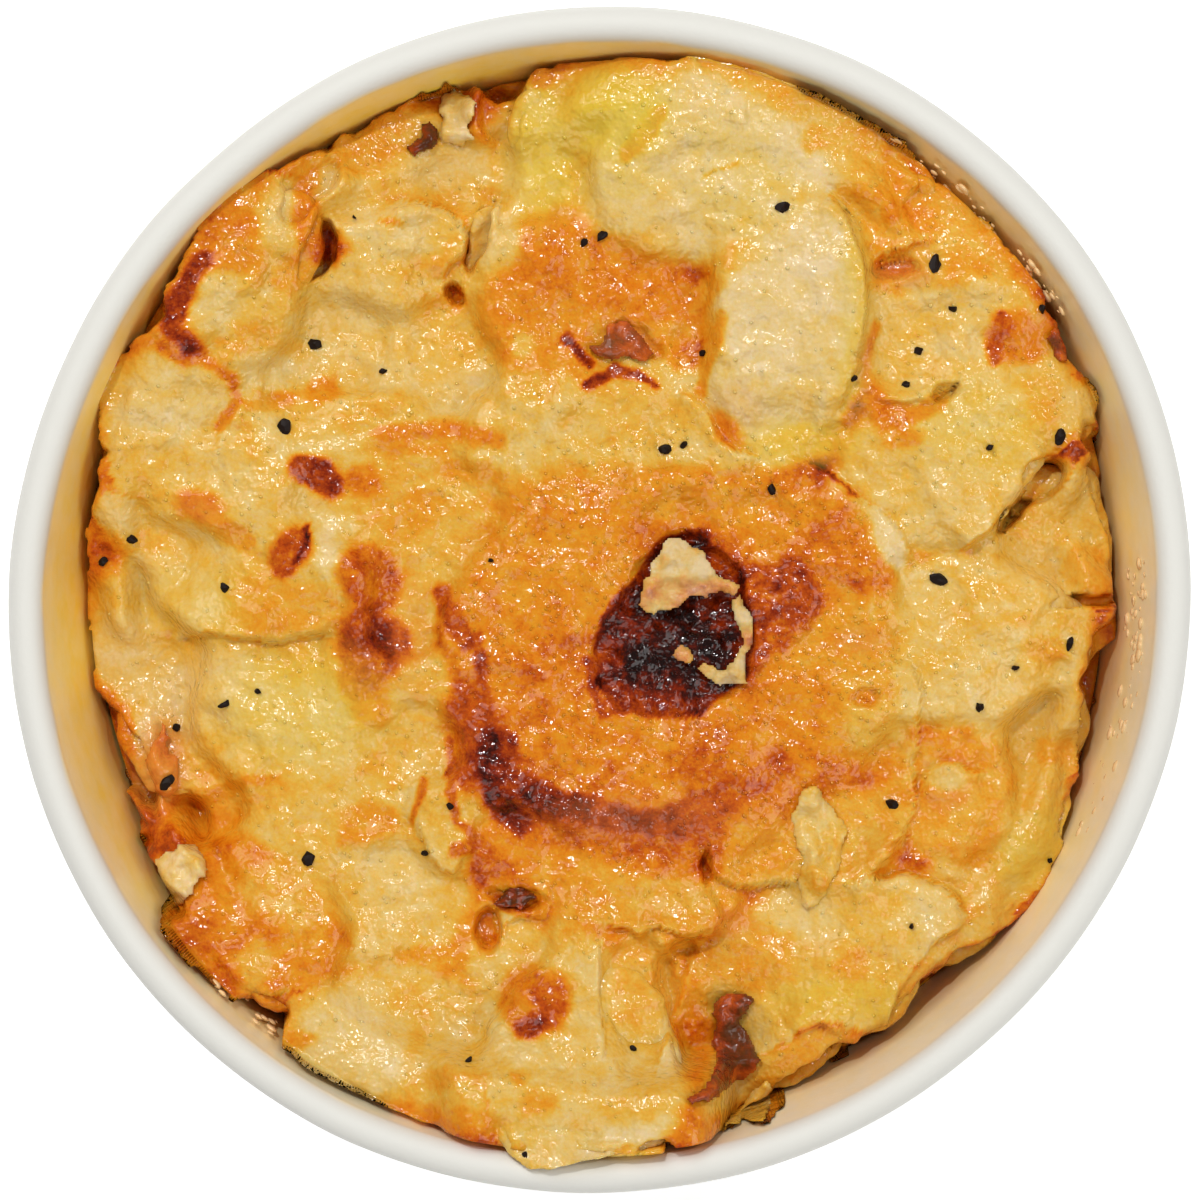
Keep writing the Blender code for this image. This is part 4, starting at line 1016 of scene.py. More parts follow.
# %% The outlines of the leaves
# thickness and lift over the skin in mm, browning, pinkness, and the torn outlines
Leaf = namedtuple("Leaf", "node thick lift toast rosy outlines")
LEAVES = (
    Leaf("flake_large", 0.5, 1.3, 0.30, 0.1, (
        ((638, 605), (640, 590), (648, 570), (657, 549), (670, 532), (686, 536), (700, 545), (713, 560),
         (723, 578), (743, 586), (737, 598), (722, 595), (706, 597), (690, 600), (673, 609), (655, 612)),
        ((672, 646), (680, 640), (691, 645), (697, 655), (690, 665), (680, 662), (673, 655)))),
    Leaf("flake_strip", 0.4, 0.9, 0.26, 0.2, (
        ((729, 601), (741, 594), (751, 606), (756, 625), (757, 641), (748, 655), (746, 671), (751, 683),
         (737, 688), (720, 684), (704, 677), (690, 668), (706, 661), (722, 665), (734, 655), (741, 640),
         (737, 625), (730, 613)),)),
    Leaf("chunk_hanging_southeast", 0.9, -0.1, 0.24, 0, (
        ((796, 790), (813, 784), (829, 794), (836, 814), (850, 826), (846, 850), (838, 870), (831, 890),
         (822, 905), (806, 909), (797, 896), (794, 880), (800, 864), (795, 845), (791, 818)),)),
    Leaf("chunk_northwest", 2.2, 0.0, 0.14, 0, (
        ((440, 92), (452, 85), (465, 91), (479, 100), (475, 112), (472, 125), (475, 140), (462, 146),
         (450, 142), (440, 147), (437, 130), (442, 115), (436, 104)),)),
    Leaf("chunk_southwest", 1.8, 0.1, 0.13, 0, (
        ((150, 858), (164, 852), (178, 841), (192, 839), (205, 850), (208, 868), (201, 885), (190, 898),
         (175, 906), (163, 889), (154, 873)),)),
    Leaf("chunk_golden_south", 1.8, 0.1, 0.34, 0, (
        ((720, 1128), (729, 1112), (744, 1100), (752, 1085), (766, 1075), (776, 1090), (777, 1105),
         (765, 1117), (745, 1126)),)),
    Leaf("bacon_south", 1.7, 0.2, 0.84, 0.3, (
        ((712, 1003), (724, 995), (742, 991), (757, 999), (749, 1013), (738, 1024), (752, 1030), (757, 1045),
         (764, 1060), (751, 1073), (738, 1085), (724, 1096), (708, 1106), (690, 1109), (684, 1100),
         (700, 1085), (712, 1079), (713, 1060), (709, 1040), (716, 1026), (708, 1016)),)),
    Leaf("bacon_north", 1.2, 0.2, 0.80, 0.6, (
        ((584, 349), (600, 338), (610, 326), (628, 315), (645, 332), (657, 354), (642, 362), (628, 354),
         (612, 363), (596, 359)),)),
    Leaf("bacon_northwest", 1.5, 0.1, 0.88, 0.2, (
        ((420, 125), (432, 120), (441, 132), (441, 148), (426, 151), (412, 156), (404, 148), (412, 137)),)),
    Leaf("bacon_east", 1.5, 0.2, 0.76, 0.4, (
        ((1052, 318), (1062, 325), (1071, 340), (1071, 358), (1060, 363), (1050, 350), (1046, 335)),)),
    Leaf("bacon_southwest", 1.2, 0.3, 0.90, 0.2, (
        ((491, 905), (500, 892), (515, 884), (532, 888), (541, 898), (530, 906), (515, 908), (502, 911)),)),
    Leaf("bacon_west", 1.7, 0.2, 0.56, 1.0, (
        ((165, 719), (172, 735), (170, 752), (181, 762), (179, 785), (170, 799), (155, 796), (145, 780),
         (142, 762), (150, 745), (158, 732)),)),
)
print(len(LEAVES), "leaves")

# %% Fill an outline
LEAF_CELL = 0.24
LEAF_EDGE = 0.55


def leaf_sheet(outline, leaf, verts, faces):
    """Adds one torn piece to the lists: a top and an underside on a grid, joined at the edge."""
    ring = on_food(outline)
    low, high = ring.min(axis=0) - 0.5, ring.max(axis=0) + 0.5
    ticks = [np.arange(low[k], high[k], LEAF_CELL) for k in (0, 1)]
    x, y = np.meshgrid(*ticks, indexing="ij")
    flat = np.column_stack([x.ravel(), y.ravel()])
    points = np.column_stack([flat, np.zeros(len(flat))])
    torn = flat + 0.35 * drift(points, 1.3, 101)
    torn += 0.25 * drift(points, 0.6, 105)
    depth = depth_inside(torn, outline)
    inside = (depth > 0).reshape(x.shape)
    base = skin_at(flat)
    if leaf.node.startswith("flake"):
        base = sampled(skin_height, flat)
    full = 1 - np.exp(-np.maximum(depth, 0) / LEAF_EDGE)
    wavy = 0.5 * ridges(points, 1.9, 111) + 0.28 * lumps(points, 0.8, 113)
    middle = base + leaf.lift + wavy * (0.4 + 0.6 * full) * 1.3
    half = leaf.thick * (0.12 + 0.88 * full)
    number = {}
    for side, levels in ((0, middle + half * 0.8), (1, middle - half * 0.5)):
        for i, j in zip(*np.nonzero(inside)):
            number[side, i, j] = len(verts)
            verts.append((x[i, j], y[i, j], levels[i * x.shape[1] + j]))
    cells = set()
    for i, j in zip(*np.nonzero(inside)):
        if all((0, i + a, j + b) in number for a, b in ((0, 1), (1, 0), (1, 1))):
            cells.add((i, j))
    for i, j in cells:
        loop = [(i, j), (i + 1, j), (i + 1, j + 1), (i, j + 1)]
        faces.append([number[0, a, b] for a, b in loop])
        faces.append([number[1, a, b] for a, b in reversed(loop)])
        beside = [(i, j - 1), (i + 1, j), (i, j + 1), (i - 1, j)]
        for k, other in enumerate(beside):
            if other not in cells:
                (a, b), (c, d) = loop[k], loop[(k + 1) % 4]
                faces.append([number[0, c, d], number[0, a, b], number[1, a, b], number[1, c, d]])


print("A leaf's faces are", LEAF_CELL, "mm wide")

# %% Lay the leaves on the skin
SMOOTHINGS = 2


def torn_leaf(leaf):
    """All the torn sheets of one node, as one smooth closed mesh that takes the node's place."""
    verts, faces = [], []
    for outline in leaf.outlines:
        leaf_sheet(outline, leaf, verts, faces)
    piece = foods[leaf.node]
    verts = np.array(verts)
    verts[:, :2] = unseen(verts[:, :2], verts[:, 2])
    room = inner_radius(verts[:, 2]) - WALL_CLEARANCE
    verts[:, :2] *= np.minimum(room / np.maximum(np.hypot(verts[:, 0], verts[:, 1]), 1), 1)[:, None]
    mesh = bpy.data.meshes.new(leaf.node + "_torn")
    mesh.from_pydata((verts * MM).tolist(), [], faces)
    work = bmesh.new()
    work.from_mesh(mesh)
    loose = [v for v in work.verts if not v.link_faces]
    all_axes = {"use_axis_x": True, "use_axis_y": True, "use_axis_z": True}
    bmesh.ops.delete(work, geom=loose, context="VERTS")
    for _ in range(SMOOTHINGS):
        bmesh.ops.smooth_vert(work, verts=work.verts, factor=0.5, **all_axes)
    work.to_mesh(mesh)
    work.free()
    old = piece.data
    piece.data = mesh
    bpy.data.meshes.remove(old)
    mesh.shade_smooth()
    points = corners(mesh)
    swing = 0.5 if leaf.node.startswith("flake") else 0.16
    browned = leaf.toast + swing * lumps(points, 2.4, 115) + 0.1 * lumps(points, 0.6, 117)
    keep_value(mesh, "toast", np.clip(browned, 0, 1))
    keep_value(mesh, "yellow", np.zeros(len(points)))
    keep_value(mesh, "rosy", np.full(len(points), float(leaf.rosy)))


for leaf in LEAVES:
    torn_leaf(leaf)
print(len(LEAVES), "torn pieces lie on the skin")

# %% [markdown]
# ## Shader sums in Python
# A material is a web of nodes. One small class wraps a socket, so that a sum such as
# `1 - mask * 0.5` adds its own Math nodes, and one method adds a node of any other type.

# %% The class for shader sums


class Wire:
    """One output of a material's node tree, with the sums that can be made from it."""

    def __init__(self, tree, socket=None):
        self.tree = tree
        self.socket = socket

    def node(self, kind, settings=None, sockets=None, out=0):
        """Adds a node: its settings first, then values or links for its sockets."""
        made = self.tree.nodes.new(kind)
        for key, value in (settings or {}).items():
            if key == "stops":
                ramp = made.color_ramp.elements
                while len(ramp) < len(value):
                    ramp.new(1)
                for stop, (position, colour) in zip(ramp, value):
                    stop.position = position
                    stop.color = colour
            else:
                setattr(made, key, value)
        for key, value in (sockets or {}).items():
            socket = made.inputs[key]
            if isinstance(value, Wire):
                self.tree.links.new(value.socket, socket)
            else:
                socket.default_value = value
        return Wire(self.tree, made.outputs[out])

    def sum(self, operation, first, second):
        """Adds a Math node."""
        return self.node("ShaderNodeMath", {"operation": operation}, {0: first, 1: second})

    def __add__(self, other):
        return self.sum("ADD", self, other)

    def __sub__(self, other):
        return self.sum("SUBTRACT", self, other)

    def __rsub__(self, other):
        return self.sum("SUBTRACT", other, self)

    def __mul__(self, other):
        return self.sum("MULTIPLY", self, other)

    __radd__ = __add__
    __rmul__ = __mul__

    def clamped(self):
        """The value kept between 0 and 1."""
        return self.node("ShaderNodeClamp", {}, {"Value": self})

    def noise(self, size, detail=2.0, roughness=0.5):
        """A noise pattern with lumps of a size in mm."""
        where = self.node("ShaderNodeTexCoord", out=3)
        sockets = {"Vector": where, "Scale": 1 / (size * MM), "Detail": detail, "Roughness": roughness}
        return self.node("ShaderNodeTexNoise", {}, sockets)

    def mixed(self, amount, first, second):
        """A mix of two colours."""
        settings = {"data_type": "RGBA"}
        return self.node("ShaderNodeMix", settings, {0: amount, 6: first, 7: second}, 2)

    def stored(self, name):
        """A number stored on the vertices."""
        return self.node("ShaderNodeAttribute", {"attribute_name": name}, out=2)

    def bumped(self, depth, strength=1.0):
        """A normal that makes this height look carved, to a depth in mm."""
        sockets = {"Height": self, "Strength": strength, "Distance": depth * MM}
        return self.node("ShaderNodeBump", {}, sockets)


print("Wire has", len([key for key in vars(Wire) if key[0] != "_"]), "methods of its own")

# %% Colours and materials


def linear(red, green, blue):
    """A colour given as it looks on a screen, 0 to 255, in the linear values a shader needs."""
    values = [v / 255 for v in (red, green, blue)]
    return tuple(v / 12.92 if v <= 0.04045 else ((v + 0.055) / 1.055) ** 2.4 for v in values) + (1.0,)


def new_material(name):
    """An empty material with its Principled shader, and a wire to start sums from."""
    made = bpy.data.materials.new(name)
    made.use_nodes = True
    shader = made.node_tree.nodes["Principled BSDF"]
    return made, shader, Wire(made.node_tree)


def plug(wire, shader, socket):
    """Leads a wire into one of the shader's sockets."""
    wire.tree.links.new(wire.socket, shader.inputs[socket])


print("Cream is", [round(v, 2) for v in linear(230, 206, 150)])

# %% [markdown]
# ## Baked cheese and potato
# All of the food shares one finish. Its colour comes from the browning through a colour ramp,
# a little light passes into it, and its oily skin is uneven enough to sparkle.

# %% The food's material
BROWNING_STOPS = (
    (0.00, (226, 200, 150)), (0.15, (222, 188, 110)), (0.30, (222, 172, 64)), (0.45, (222, 148, 32)),
    (0.58, (217, 124, 16)), (0.70, (188, 78, 9)), (0.82, (132, 36, 5)), (0.92, (64, 14, 5)),
    (1.00, (26, 7, 5)),
)
YELLOW_POTATO = (216, 186, 60)
ROSY_BACON = (210, 124, 66)
DRY_FLAKE = (196, 170, 126)
# a little light passes into the food; red goes deepest
SOFT_LIGHT = {
    "Subsurface Weight": 0.25,
    "Subsurface Radius": (1.0, 0.5, 0.2),
    "Subsurface Scale": 1.6 * MM,
    "IOR": 1.46,
    "Specular IOR Level": 0.4,
}


def food_material(name, skin_bump, gloss, dry=0.0):
    """Baked food whose colour follows the browning stored on its vertices."""
    made, shader, start = new_material(name)
    toast = start.stored("toast")
    mottle = start.noise(1.6, 5, 0.65) - 0.5
    speckle = start.noise(0.4, 3, 0.6) - 0.5
    degree = toast + mottle * (0.34 + 0.8 * dry) + speckle * 0.16
    stops = [(place, linear(*colour)) for place, colour in BROWNING_STOPS]
    colour = start.node("ShaderNodeValToRGB", {"stops": stops}, {"Fac": degree.clamped()})
    colour = start.mixed(start.stored("yellow") * 0.8, colour, linear(*YELLOW_POTATO))
    colour = start.mixed(start.stored("rosy") * 0.5, colour, linear(*ROSY_BACON))
    if dry:
        colour = start.mixed((start.noise(2.0, 4) * dry).clamped(), colour, linear(*DRY_FLAKE))
    plug(colour, shader, "Base Color")
    height = start.noise(0.8, 1, 0.5) * 0.5 + start.noise(1.8, 2, 0.5) * 0.8
    plug(height.bumped(skin_bump), shader, "Normal")
    rough = (gloss + start.noise(2.4, 2, 0.5) * 0.22) * (1.2 - toast * 0.7)
    plug(rough, shader, "Roughness")
    for socket, value in SOFT_LIGHT.items():
        shader.inputs[socket].default_value = value
    return made


baked_cheese = food_material("baked_cheese", 0.42, 0.07)
dry_cheese = food_material("dry_cheese", 0.5, 0.35, 0.65)
for piece in [*foods.values(), cheese_skin]:
    piece.data.materials.clear()
    piece.data.materials.append(dry_cheese if "flake" in piece.name else baked_cheese)
print("The food has", len(BROWNING_STOPS), "degrees of browning")

# %% [markdown]
# ## Pepper and grains by Geometry Nodes
# Crushed pepper and crumbs of browned cheese repeat many times, each turned and sized on its
# own. A Geometry Nodes tree puts a small rough stone on every point of a cloud, reads its
# size and turn from the point, and makes the instances real, so that they form one mesh.

# %% Helpers for trees


def named_inputs(tree, inputs):
    """Gives a tree its named inputs and one output, and returns a wire from each input."""
    for label, kind in inputs:
        tree.interface.new_socket(label, in_out="INPUT", socket_type="NodeSocket" + kind)
    tree.interface.new_socket("Made", in_out="OUTPUT", socket_type="NodeSocketGeometry")
    entry = tree.nodes.new("NodeGroupInput")
    return [Wire(tree, entry.outputs[k]) for k in range(len(inputs))]


def finished(tree, geometry, material):
    """Ends a tree: sets the material and leads the geometry out."""
    done = geometry.node("GeometryNodeSetMaterial", {}, {"Geometry": geometry, "Material": material})
    leave = tree.nodes.new("NodeGroupOutput")
    tree.links.new(done.socket, leave.inputs[0])
    return tree


def made_real(name, mesh, tree, values):
    """Runs a tree over a mesh with its inputs set, and keeps the result as a plain mesh."""
    piece = in_scene(name, mesh)
    runner = piece.modifiers.new("Tree", "NODES")
    runner.node_group = tree
    sockets = {item.name: item.identifier for item in tree.interface.items_tree}
    for key, value in values.items():
        runner[sockets[key]] = value
    graph = bpy.context.evaluated_depsgraph_get()
    made = bpy.data.meshes.new_from_object(piece.evaluated_get(graph))
    piece.modifiers.clear()
    piece.data = made
    bpy.data.meshes.remove(mesh)
    made.name = name
    return piece


print("The scene has", len(bpy.data.node_groups), "trees so far")

# %% The tree that scatters small stones
STONE_GRAIN = 0.6


def scatter_tree(name, material, sides=1):
    """A tree with named inputs that sets a rough little stone on each point."""
    tree = bpy.data.node_groups.new(name, "GeometryNodeTree")
    inputs = (("Points", "Geometry"), ("Stone size", "Float"), ("Roughness", "Float"))
    points, size, rough = named_inputs(tree, inputs)
    start = Wire(tree)
    stone = start.node("GeometryNodeMeshIcoSphere", {}, {"Subdivisions": sides, "Radius": size})
    named = "GeometryNodeInputNamedAttribute"
    scale = start.node(named, {"data_type": "FLOAT_VECTOR"}, {"Name": "stone_scale"})
    turn = start.node(named, {"data_type": "FLOAT_VECTOR"}, {"Name": "stone_turn"})
    instance = {"Points": points, "Instance": stone, "Rotation": turn, "Scale": scale}
    placed = start.node("GeometryNodeInstanceOnPoints", {}, instance)
    real = start.node("GeometryNodeRealizeInstances", {}, {"Geometry": placed})
    grain = {"Scale": 1 / (STONE_GRAIN * MM), "Detail": 3.0}
    pattern = start.node("ShaderNodeTexNoise", {}, grain, out=1)
    halves = {0: pattern, 1: (0.5, 0.5, 0.5)}
    centred = start.node("ShaderNodeVectorMath", {"operation": "SUBTRACT"}, halves)
    shift = start.node("ShaderNodeVectorMath", {"operation": "SCALE"}, {0: centred, "Scale": rough})
    moved = start.node("GeometryNodeSetPosition", {}, {"Geometry": real, "Offset": shift})
    return finished(tree, moved, material)


def scattered(name, tree, places, scales, turns, rough):
    """Sets a stone of the tree on each place."""
    cloud = bpy.data.meshes.new(name)
    cloud.from_pydata((np.array(places) * MM).tolist(), [], [])
    for key, values in (("stone_scale", scales), ("stone_turn", turns)):
        layer = cloud.attributes.new(key, "FLOAT_VECTOR", "POINT")
        layer.data.foreach_set("vector", np.array(values, np.float32).ravel())
    piece = made_real(name, cloud, tree, {"Stone size": MM, "Roughness": rough * MM})
    print(name, "has", len(places), "stones and", len(piece.data.polygons), "faces")
    return piece


print("The stones' grain is", STONE_GRAIN, "mm")

# %% Where the pepper lies
# middle, half length, half width and turn of the larger flakes, on the picture
PEPPER = (
    (783, 206, 8, 5, 10), (935, 263, 11, 5, 80), (284, 426, 9, 7, 80), (315, 343, 7, 6, 0),
    (132, 538, 7, 4, -30), (584, 241, 5, 4, 60), (602, 235, 6, 4, 40), (665, 448, 7, 5, 0),
    (684, 444, 5, 3, 50), (918, 350, 5, 4, 0), (905, 383, 4, 4, 30), (853, 377, 4, 3, 0),
    (1060, 436, 9, 5, 70), (939, 578, 10, 6, -10), (1070, 643, 8, 3, 75), (892, 803, 7, 5, -20),
    (308, 858, 7, 7, 70), (168, 781, 10, 5, 50), (176, 726, 4, 4, 0), (225, 703, 7, 3, 20),
    (633, 1047, 4, 3, 0), (383, 370, 4, 3, 10), (1050, 859, 3, 3, 0), (103, 560, 5, 4, 60),
    (225, 587, 6, 4, -50), (953, 308, 4, 3, 0), (990, 446, 4, 3, 20), (1015, 667, 4, 3, 0),
    (258, 690, 3, 3, 0), (425, 852, 4, 3, 0), (450, 805, 3, 3, 0), (468, 1061, 5, 3, 40),
    (525, 1153, 3, 3, 0), (703, 352, 4, 3, 0), (354, 217, 2, 2, 0), (979, 706, 5, 5, 60),
    (772, 488, 3, 6, 0), (1042, 308, 3, 5, 0), (912, 925, 2, 2, 0), (490, 560, 2, 2, 0),
)
print(len(PEPPER), "flakes of pepper")

# %% Scatter the pepper
PEPPER_THICKNESS = 0.35
PEPPER_LIFT = 0.15


def plain_material(name, colour, roughness, shine=0.5):
    """A material of one colour, given as it looks on a screen."""
    made, shader, _ = new_material(name)
    shader.inputs["Base Color"].default_value = linear(*colour)
    shader.inputs["Roughness"].default_value = roughness
    shader.inputs["Specular IOR Level"].default_value = shine
    return made


pepper_black = plain_material("pepper_black", (26, 14, 8), 0.5, 0.15)
draws = np.random.RandomState(5)
spots = on_food([row[:2] for row in PEPPER])
spots = unseen(spots, skin_at(spots))
levels = skin_at(spots)
for k, (x, y) in enumerate(spots * MM):
    for leaf in LEAVES:
        found, where, _, _ = foods[leaf.node].ray_cast((x, y, 0.1), (0, 0, -1))
        if found:
            levels[k] = max(levels[k], where.z / MM)
spot_places = np.column_stack([spots, levels + PEPPER_LIFT])
spot_scales, spot_turns = [], []
for *_, length, width, turn in PEPPER:
    spot_scales.append((length * MM_PER_POINT, width * MM_PER_POINT, PEPPER_THICKNESS))
    spot_turns.append((draws.uniform(-0.2, 0.2), draws.uniform(-0.2, 0.2), math.radians(turn)))
pepper_tree = scatter_tree("scatter_pepper", pepper_black, 2)
pepper = scattered("pepper_flakes", pepper_tree, spot_places, spot_scales, spot_turns, 0.8)

# %% Grains of browned cheese, thickest on the crust
CRUMB_COUNT = 7000
CRUMB_FIELD = 50
CRUST_MIDDLE = (7.6, -5.2)
CRUST_RADIUS = 22
SPARSE = 0.25
CRUMB_SIZES = (0.1, 0.26)
CRUMB_SINK = 0.02
crumb_axes = [draws.uniform(-CRUMB_FIELD, CRUMB_FIELD, CRUMB_COUNT) for _ in range(2)]
crumb_flat = np.column_stack(crumb_axes)
on_crust = np.hypot(*(crumb_flat - CRUST_MIDDLE).T) < CRUST_RADIUS
thinned = on_crust | (draws.uniform(0, 1, CRUMB_COUNT) < SPARSE)
crumb_flat = crumb_flat[(np.hypot(*crumb_flat.T) < CRUMB_FIELD) & thinned]
crumb_levels = skin_at(crumb_flat)
crumb_scales = np.column_stack([draws.uniform(*CRUMB_SIZES, len(crumb_flat)) for _ in range(3)])
crumb_turns = draws.uniform(0, math.pi, (len(crumb_flat), 3))
crumb_tree = scatter_tree("scatter_crumbs", baked_cheese)
crumb_places = np.column_stack([crumb_flat, crumb_levels - CRUMB_SINK])
crumbs = scattered("cheese_grains", crumb_tree, crumb_places, crumb_scales, crumb_turns, 0.1)
crumbs.data.shade_smooth()
paint(crumbs.data, started(corners(crumbs.data)))

# %% [markdown]
# ## Splashes on the wall
# Sauce has splashed on the wall at three places and dried there. Each drop is one of the small
# stones, flattened against the wall.

# %% Drops of sauce dried on the wall
# each place: its first and last angle, how many drops, its lowest and highest level in mm
SPLASHES = ((-26, 4, 90, 50, 57), (32, 62, 50, 54, 58.5), (-142, -124, 26, 51, 57))
sauce_drop = plain_material("sauce_drop", (242, 204, 150), 0.2)
drop_places, drop_scales, drop_turns = [], [], []
for first, last, count, low, high in SPLASHES:
    for _ in range(count):
        angle = math.radians(draws.uniform(first, last))
        level = draws.uniform(low, high)
        reach = inner_radius(level) - 0.15
        drop_places.append((reach * math.cos(angle), reach * math.sin(angle), level))
        size = 0.2 + 0.6 * draws.uniform(0, 1) ** 2
        drop_scales.append((0.4 * size, size, size * draws.uniform(0.8, 1.6)))
        drop_turns.append((0, 0, angle))
drop_tree = scatter_tree("scatter_drops", sauce_drop, 2)
sauce_drops = scattered("sauce_drops", drop_tree, drop_places, drop_scales, drop_turns, 0.3)
sauce_drops.data.shade_smooth()

# %% [markdown]
# ## The paper bowl
# A paper bowl is a tapered wall whose top edge is rolled outwards, with a flat base set into its
# foot. Its section is one line swept around a circle, so Geometry Nodes make it: a grid's columns
# stand for the turns and its rows for the section's points, and Set Position puts each in place,
# slightly out of round.

# %% The bowl's section
PAPER = 0.6
FOOT_THICKNESS = 1.9
FOOT_LEDGE = 5.9
SQUEEZE = 0.009
SQUEEZE_DIRECTION = math.radians(52)
ROLL_TURN = math.radians(240)
OUTER_STEPS = 24
INNER_STEPS = 90
ROUND_STEPS = 8


def bowl_section():
    """The closed line of the bowl's wall, roll and foot, as (radius, height) in mm."""
    thick = PAPER / math.cos(math.atan(WALL_SLOPE))
    line = []
    for step in range(OUTER_STEPS + 1):
        angle = math.pi / 2 + ROLL_TURN * step / OUTER_STEPS
        across = ROLL_MIDDLE[0] - ROLL_RADIUS * math.cos(angle)
        line.append((across, ROLL_MIDDLE[1] + ROLL_RADIUS * math.sin(angle)))
    under_roll = line[-1][1] - ROLL_RADIUS / 3
    for step in range(OUTER_STEPS):
        height = under_roll * (1 - step / OUTER_STEPS)
        line.append((inner_radius(height) + thick, height))
    foot = inner_radius(0) + thick
    line += [(foot, 0), (foot - FOOT_THICKNESS, 0)]
    line += [(inner_radius(FOOT_LEDGE) + thick - FOOT_THICKNESS, FOOT_LEDGE)]
    line += [(inner_radius(FOOT_LEDGE), FOOT_LEDGE)]
    for step in range(1, INNER_STEPS):
        height = FOOT_LEDGE + (ROLL_MIDDLE[1] - FOOT_LEDGE) * step / INNER_STEPS
        line.append((inner_radius(height), height))
    for step in range(ROUND_STEPS):
        angle = math.pi / 2 * step / ROUND_STEPS
        across = ROLL_MIDDLE[0] - ROLL_RADIUS * math.cos(angle)
        line.append((across, ROLL_MIDDLE[1] + ROLL_RADIUS * math.sin(angle)))
    return line


section = bowl_section()
print("The bowl's section has", len(section), "points")

# %% The paper's material
WHITE_PAPER = (222, 220, 212)
OILY_LIGHT = (255, 241, 202)
# the deepest tan, which on the upper left also stands for painted shade
DEEP_OIL_AND_SHADE = (255, 220, 80)


def paper_material():
    """White paper, soaked with fat as far as the stain stored on its vertices says; its deeper tan at the
    upper left is partly painted shade.
    """
    made, shader, start = new_material("bowl_paper")
    stain, depth = start.stored("stain"), start.stored("depth")
    patchy = (stain * (0.45 + depth * 0.5 + start.noise(2.5, 4, 0.6) * 0.4)).clamped()
    shade = (depth * 0.9 + (start.noise(2.2, 4, 0.65) - 0.5) * 0.8).clamped()
    oily = start.mixed(shade, linear(*OILY_LIGHT), linear(*DEEP_OIL_AND_SHADE))
    plug(start.mixed(patchy, linear(*WHITE_PAPER), oily), shader, "Base Color")
    plug(start.noise(0.6, 4).bumped(0.1, 0.25), shader, "Normal")
    plug(0.6 - stain * 0.3, shader, "Roughness")
    return made


bowl_paper = paper_material()
print("The paper has", len(bowl_paper.node_tree.nodes), "nodes")

# %% Sweep the section around the bowl
BOWL_STEPS = 360
DENT = 0.5
BASE_FIT = 0.3


def bowl_tree():
    """A tree that sweeps a row of section points around the bowl's axis."""
    tree = bpy.data.node_groups.new("bowl_sweep", "GeometryNodeTree")
    inputs = [("Section", "Geometry"), ("Points", "Int"), ("Rows", "Int"), ("Steps", "Int")]
    inputs += [("Squeeze", "Float"), ("Dent", "Float"), ("Paper", "Material")]
    line, points, rows, steps, squeeze, dent, paper = named_inputs(tree, inputs)
    start = Wire(tree)
    grid = start.node("GeometryNodeMeshGrid", {}, {"Vertices X": steps + 1, "Vertices Y": rows})
    index = start.node("GeometryNodeInputIndex")
    column = start.sum("FLOOR", start.sum("DIVIDE", index + 0.5, rows), 0.0)
    row = start.sum("MODULO", index - column * rows, points)
    place = start.node("GeometryNodeInputPosition")
    sampled_point = {"Geometry": line, "Value": place, "Index": row}
    found = start.node("GeometryNodeSampleIndex", {"data_type": "FLOAT_VECTOR"}, sampled_point)
    radius = start.node("ShaderNodeSeparateXYZ", {}, {0: found})
    level = start.node("ShaderNodeSeparateXYZ", {}, {0: found}, out=2)
    angle = start.sum("DIVIDE", column, steps) * (2 * math.pi)
    twice = start.sum("COSINE", (angle - SQUEEZE_DIRECTION) * 2, 0.0)
    cosine, sine = start.sum("COSINE", angle, 0.0), start.sum("SINE", angle, 0.0)
    circle = start.node("ShaderNodeCombineXYZ", {}, {"X": cosine, "Y": sine})
    dents = start.node("ShaderNodeTexNoise", {}, {"Vector": circle, "Scale": 2.6, "Detail": 1.0}) - 0.5
    lifted = level * (1 / (BOWL_HEIGHT * MM))
    reach = radius * (1 + squeeze * lifted * twice) + dents * dent * lifted
    turned = {"X": reach * cosine, "Y": reach * sine, "Z": level}
    where = start.node("ShaderNodeCombineXYZ", {}, turned)
    moved = start.node("GeometryNodeSetPosition", {}, {"Geometry": grid, "Position": where})
    merging = {"Geometry": moved, "Distance": 0.01 * MM}
    merged = start.node("GeometryNodeMergeByDistance", {}, merging)
    return finished(tree, merged, paper)


def swept(name, line, closed):
    """A section turned about the bowl's axis, as a plain mesh."""
    cloud = bpy.data.meshes.new(name)
    cloud.from_pydata([(r * MM, 0, z * MM) for r, z in line], [], [])
    values = {"Points": len(line), "Rows": len(line) + closed, "Steps": BOWL_STEPS}
    values |= {"Squeeze": SQUEEZE, "Dent": DENT * MM, "Paper": bowl_paper}
    piece = made_real(name, cloud, sweep_tree, values)
    work = bmesh.new()
    work.from_mesh(piece.data)
    bmesh.ops.recalc_face_normals(work, faces=work.faces)
    work.to_mesh(piece.data)
    work.free()
    piece.data.shade_smooth()
    return piece


sweep_tree = bowl_tree()
paper_wall = swept("paper_wall", section, True)
under_disc = FOOT_LEDGE + BASE_FIT
disc_radius = inner_radius(under_disc) - BASE_FIT
disc_line = [(0, BASE_LEVEL), (disc_radius, BASE_LEVEL), (disc_radius, under_disc), (0, under_disc)]
paper_base = swept("paper_base", disc_line, False)
print("The bowl's wall has", len(paper_wall.data.polygons), "faces")
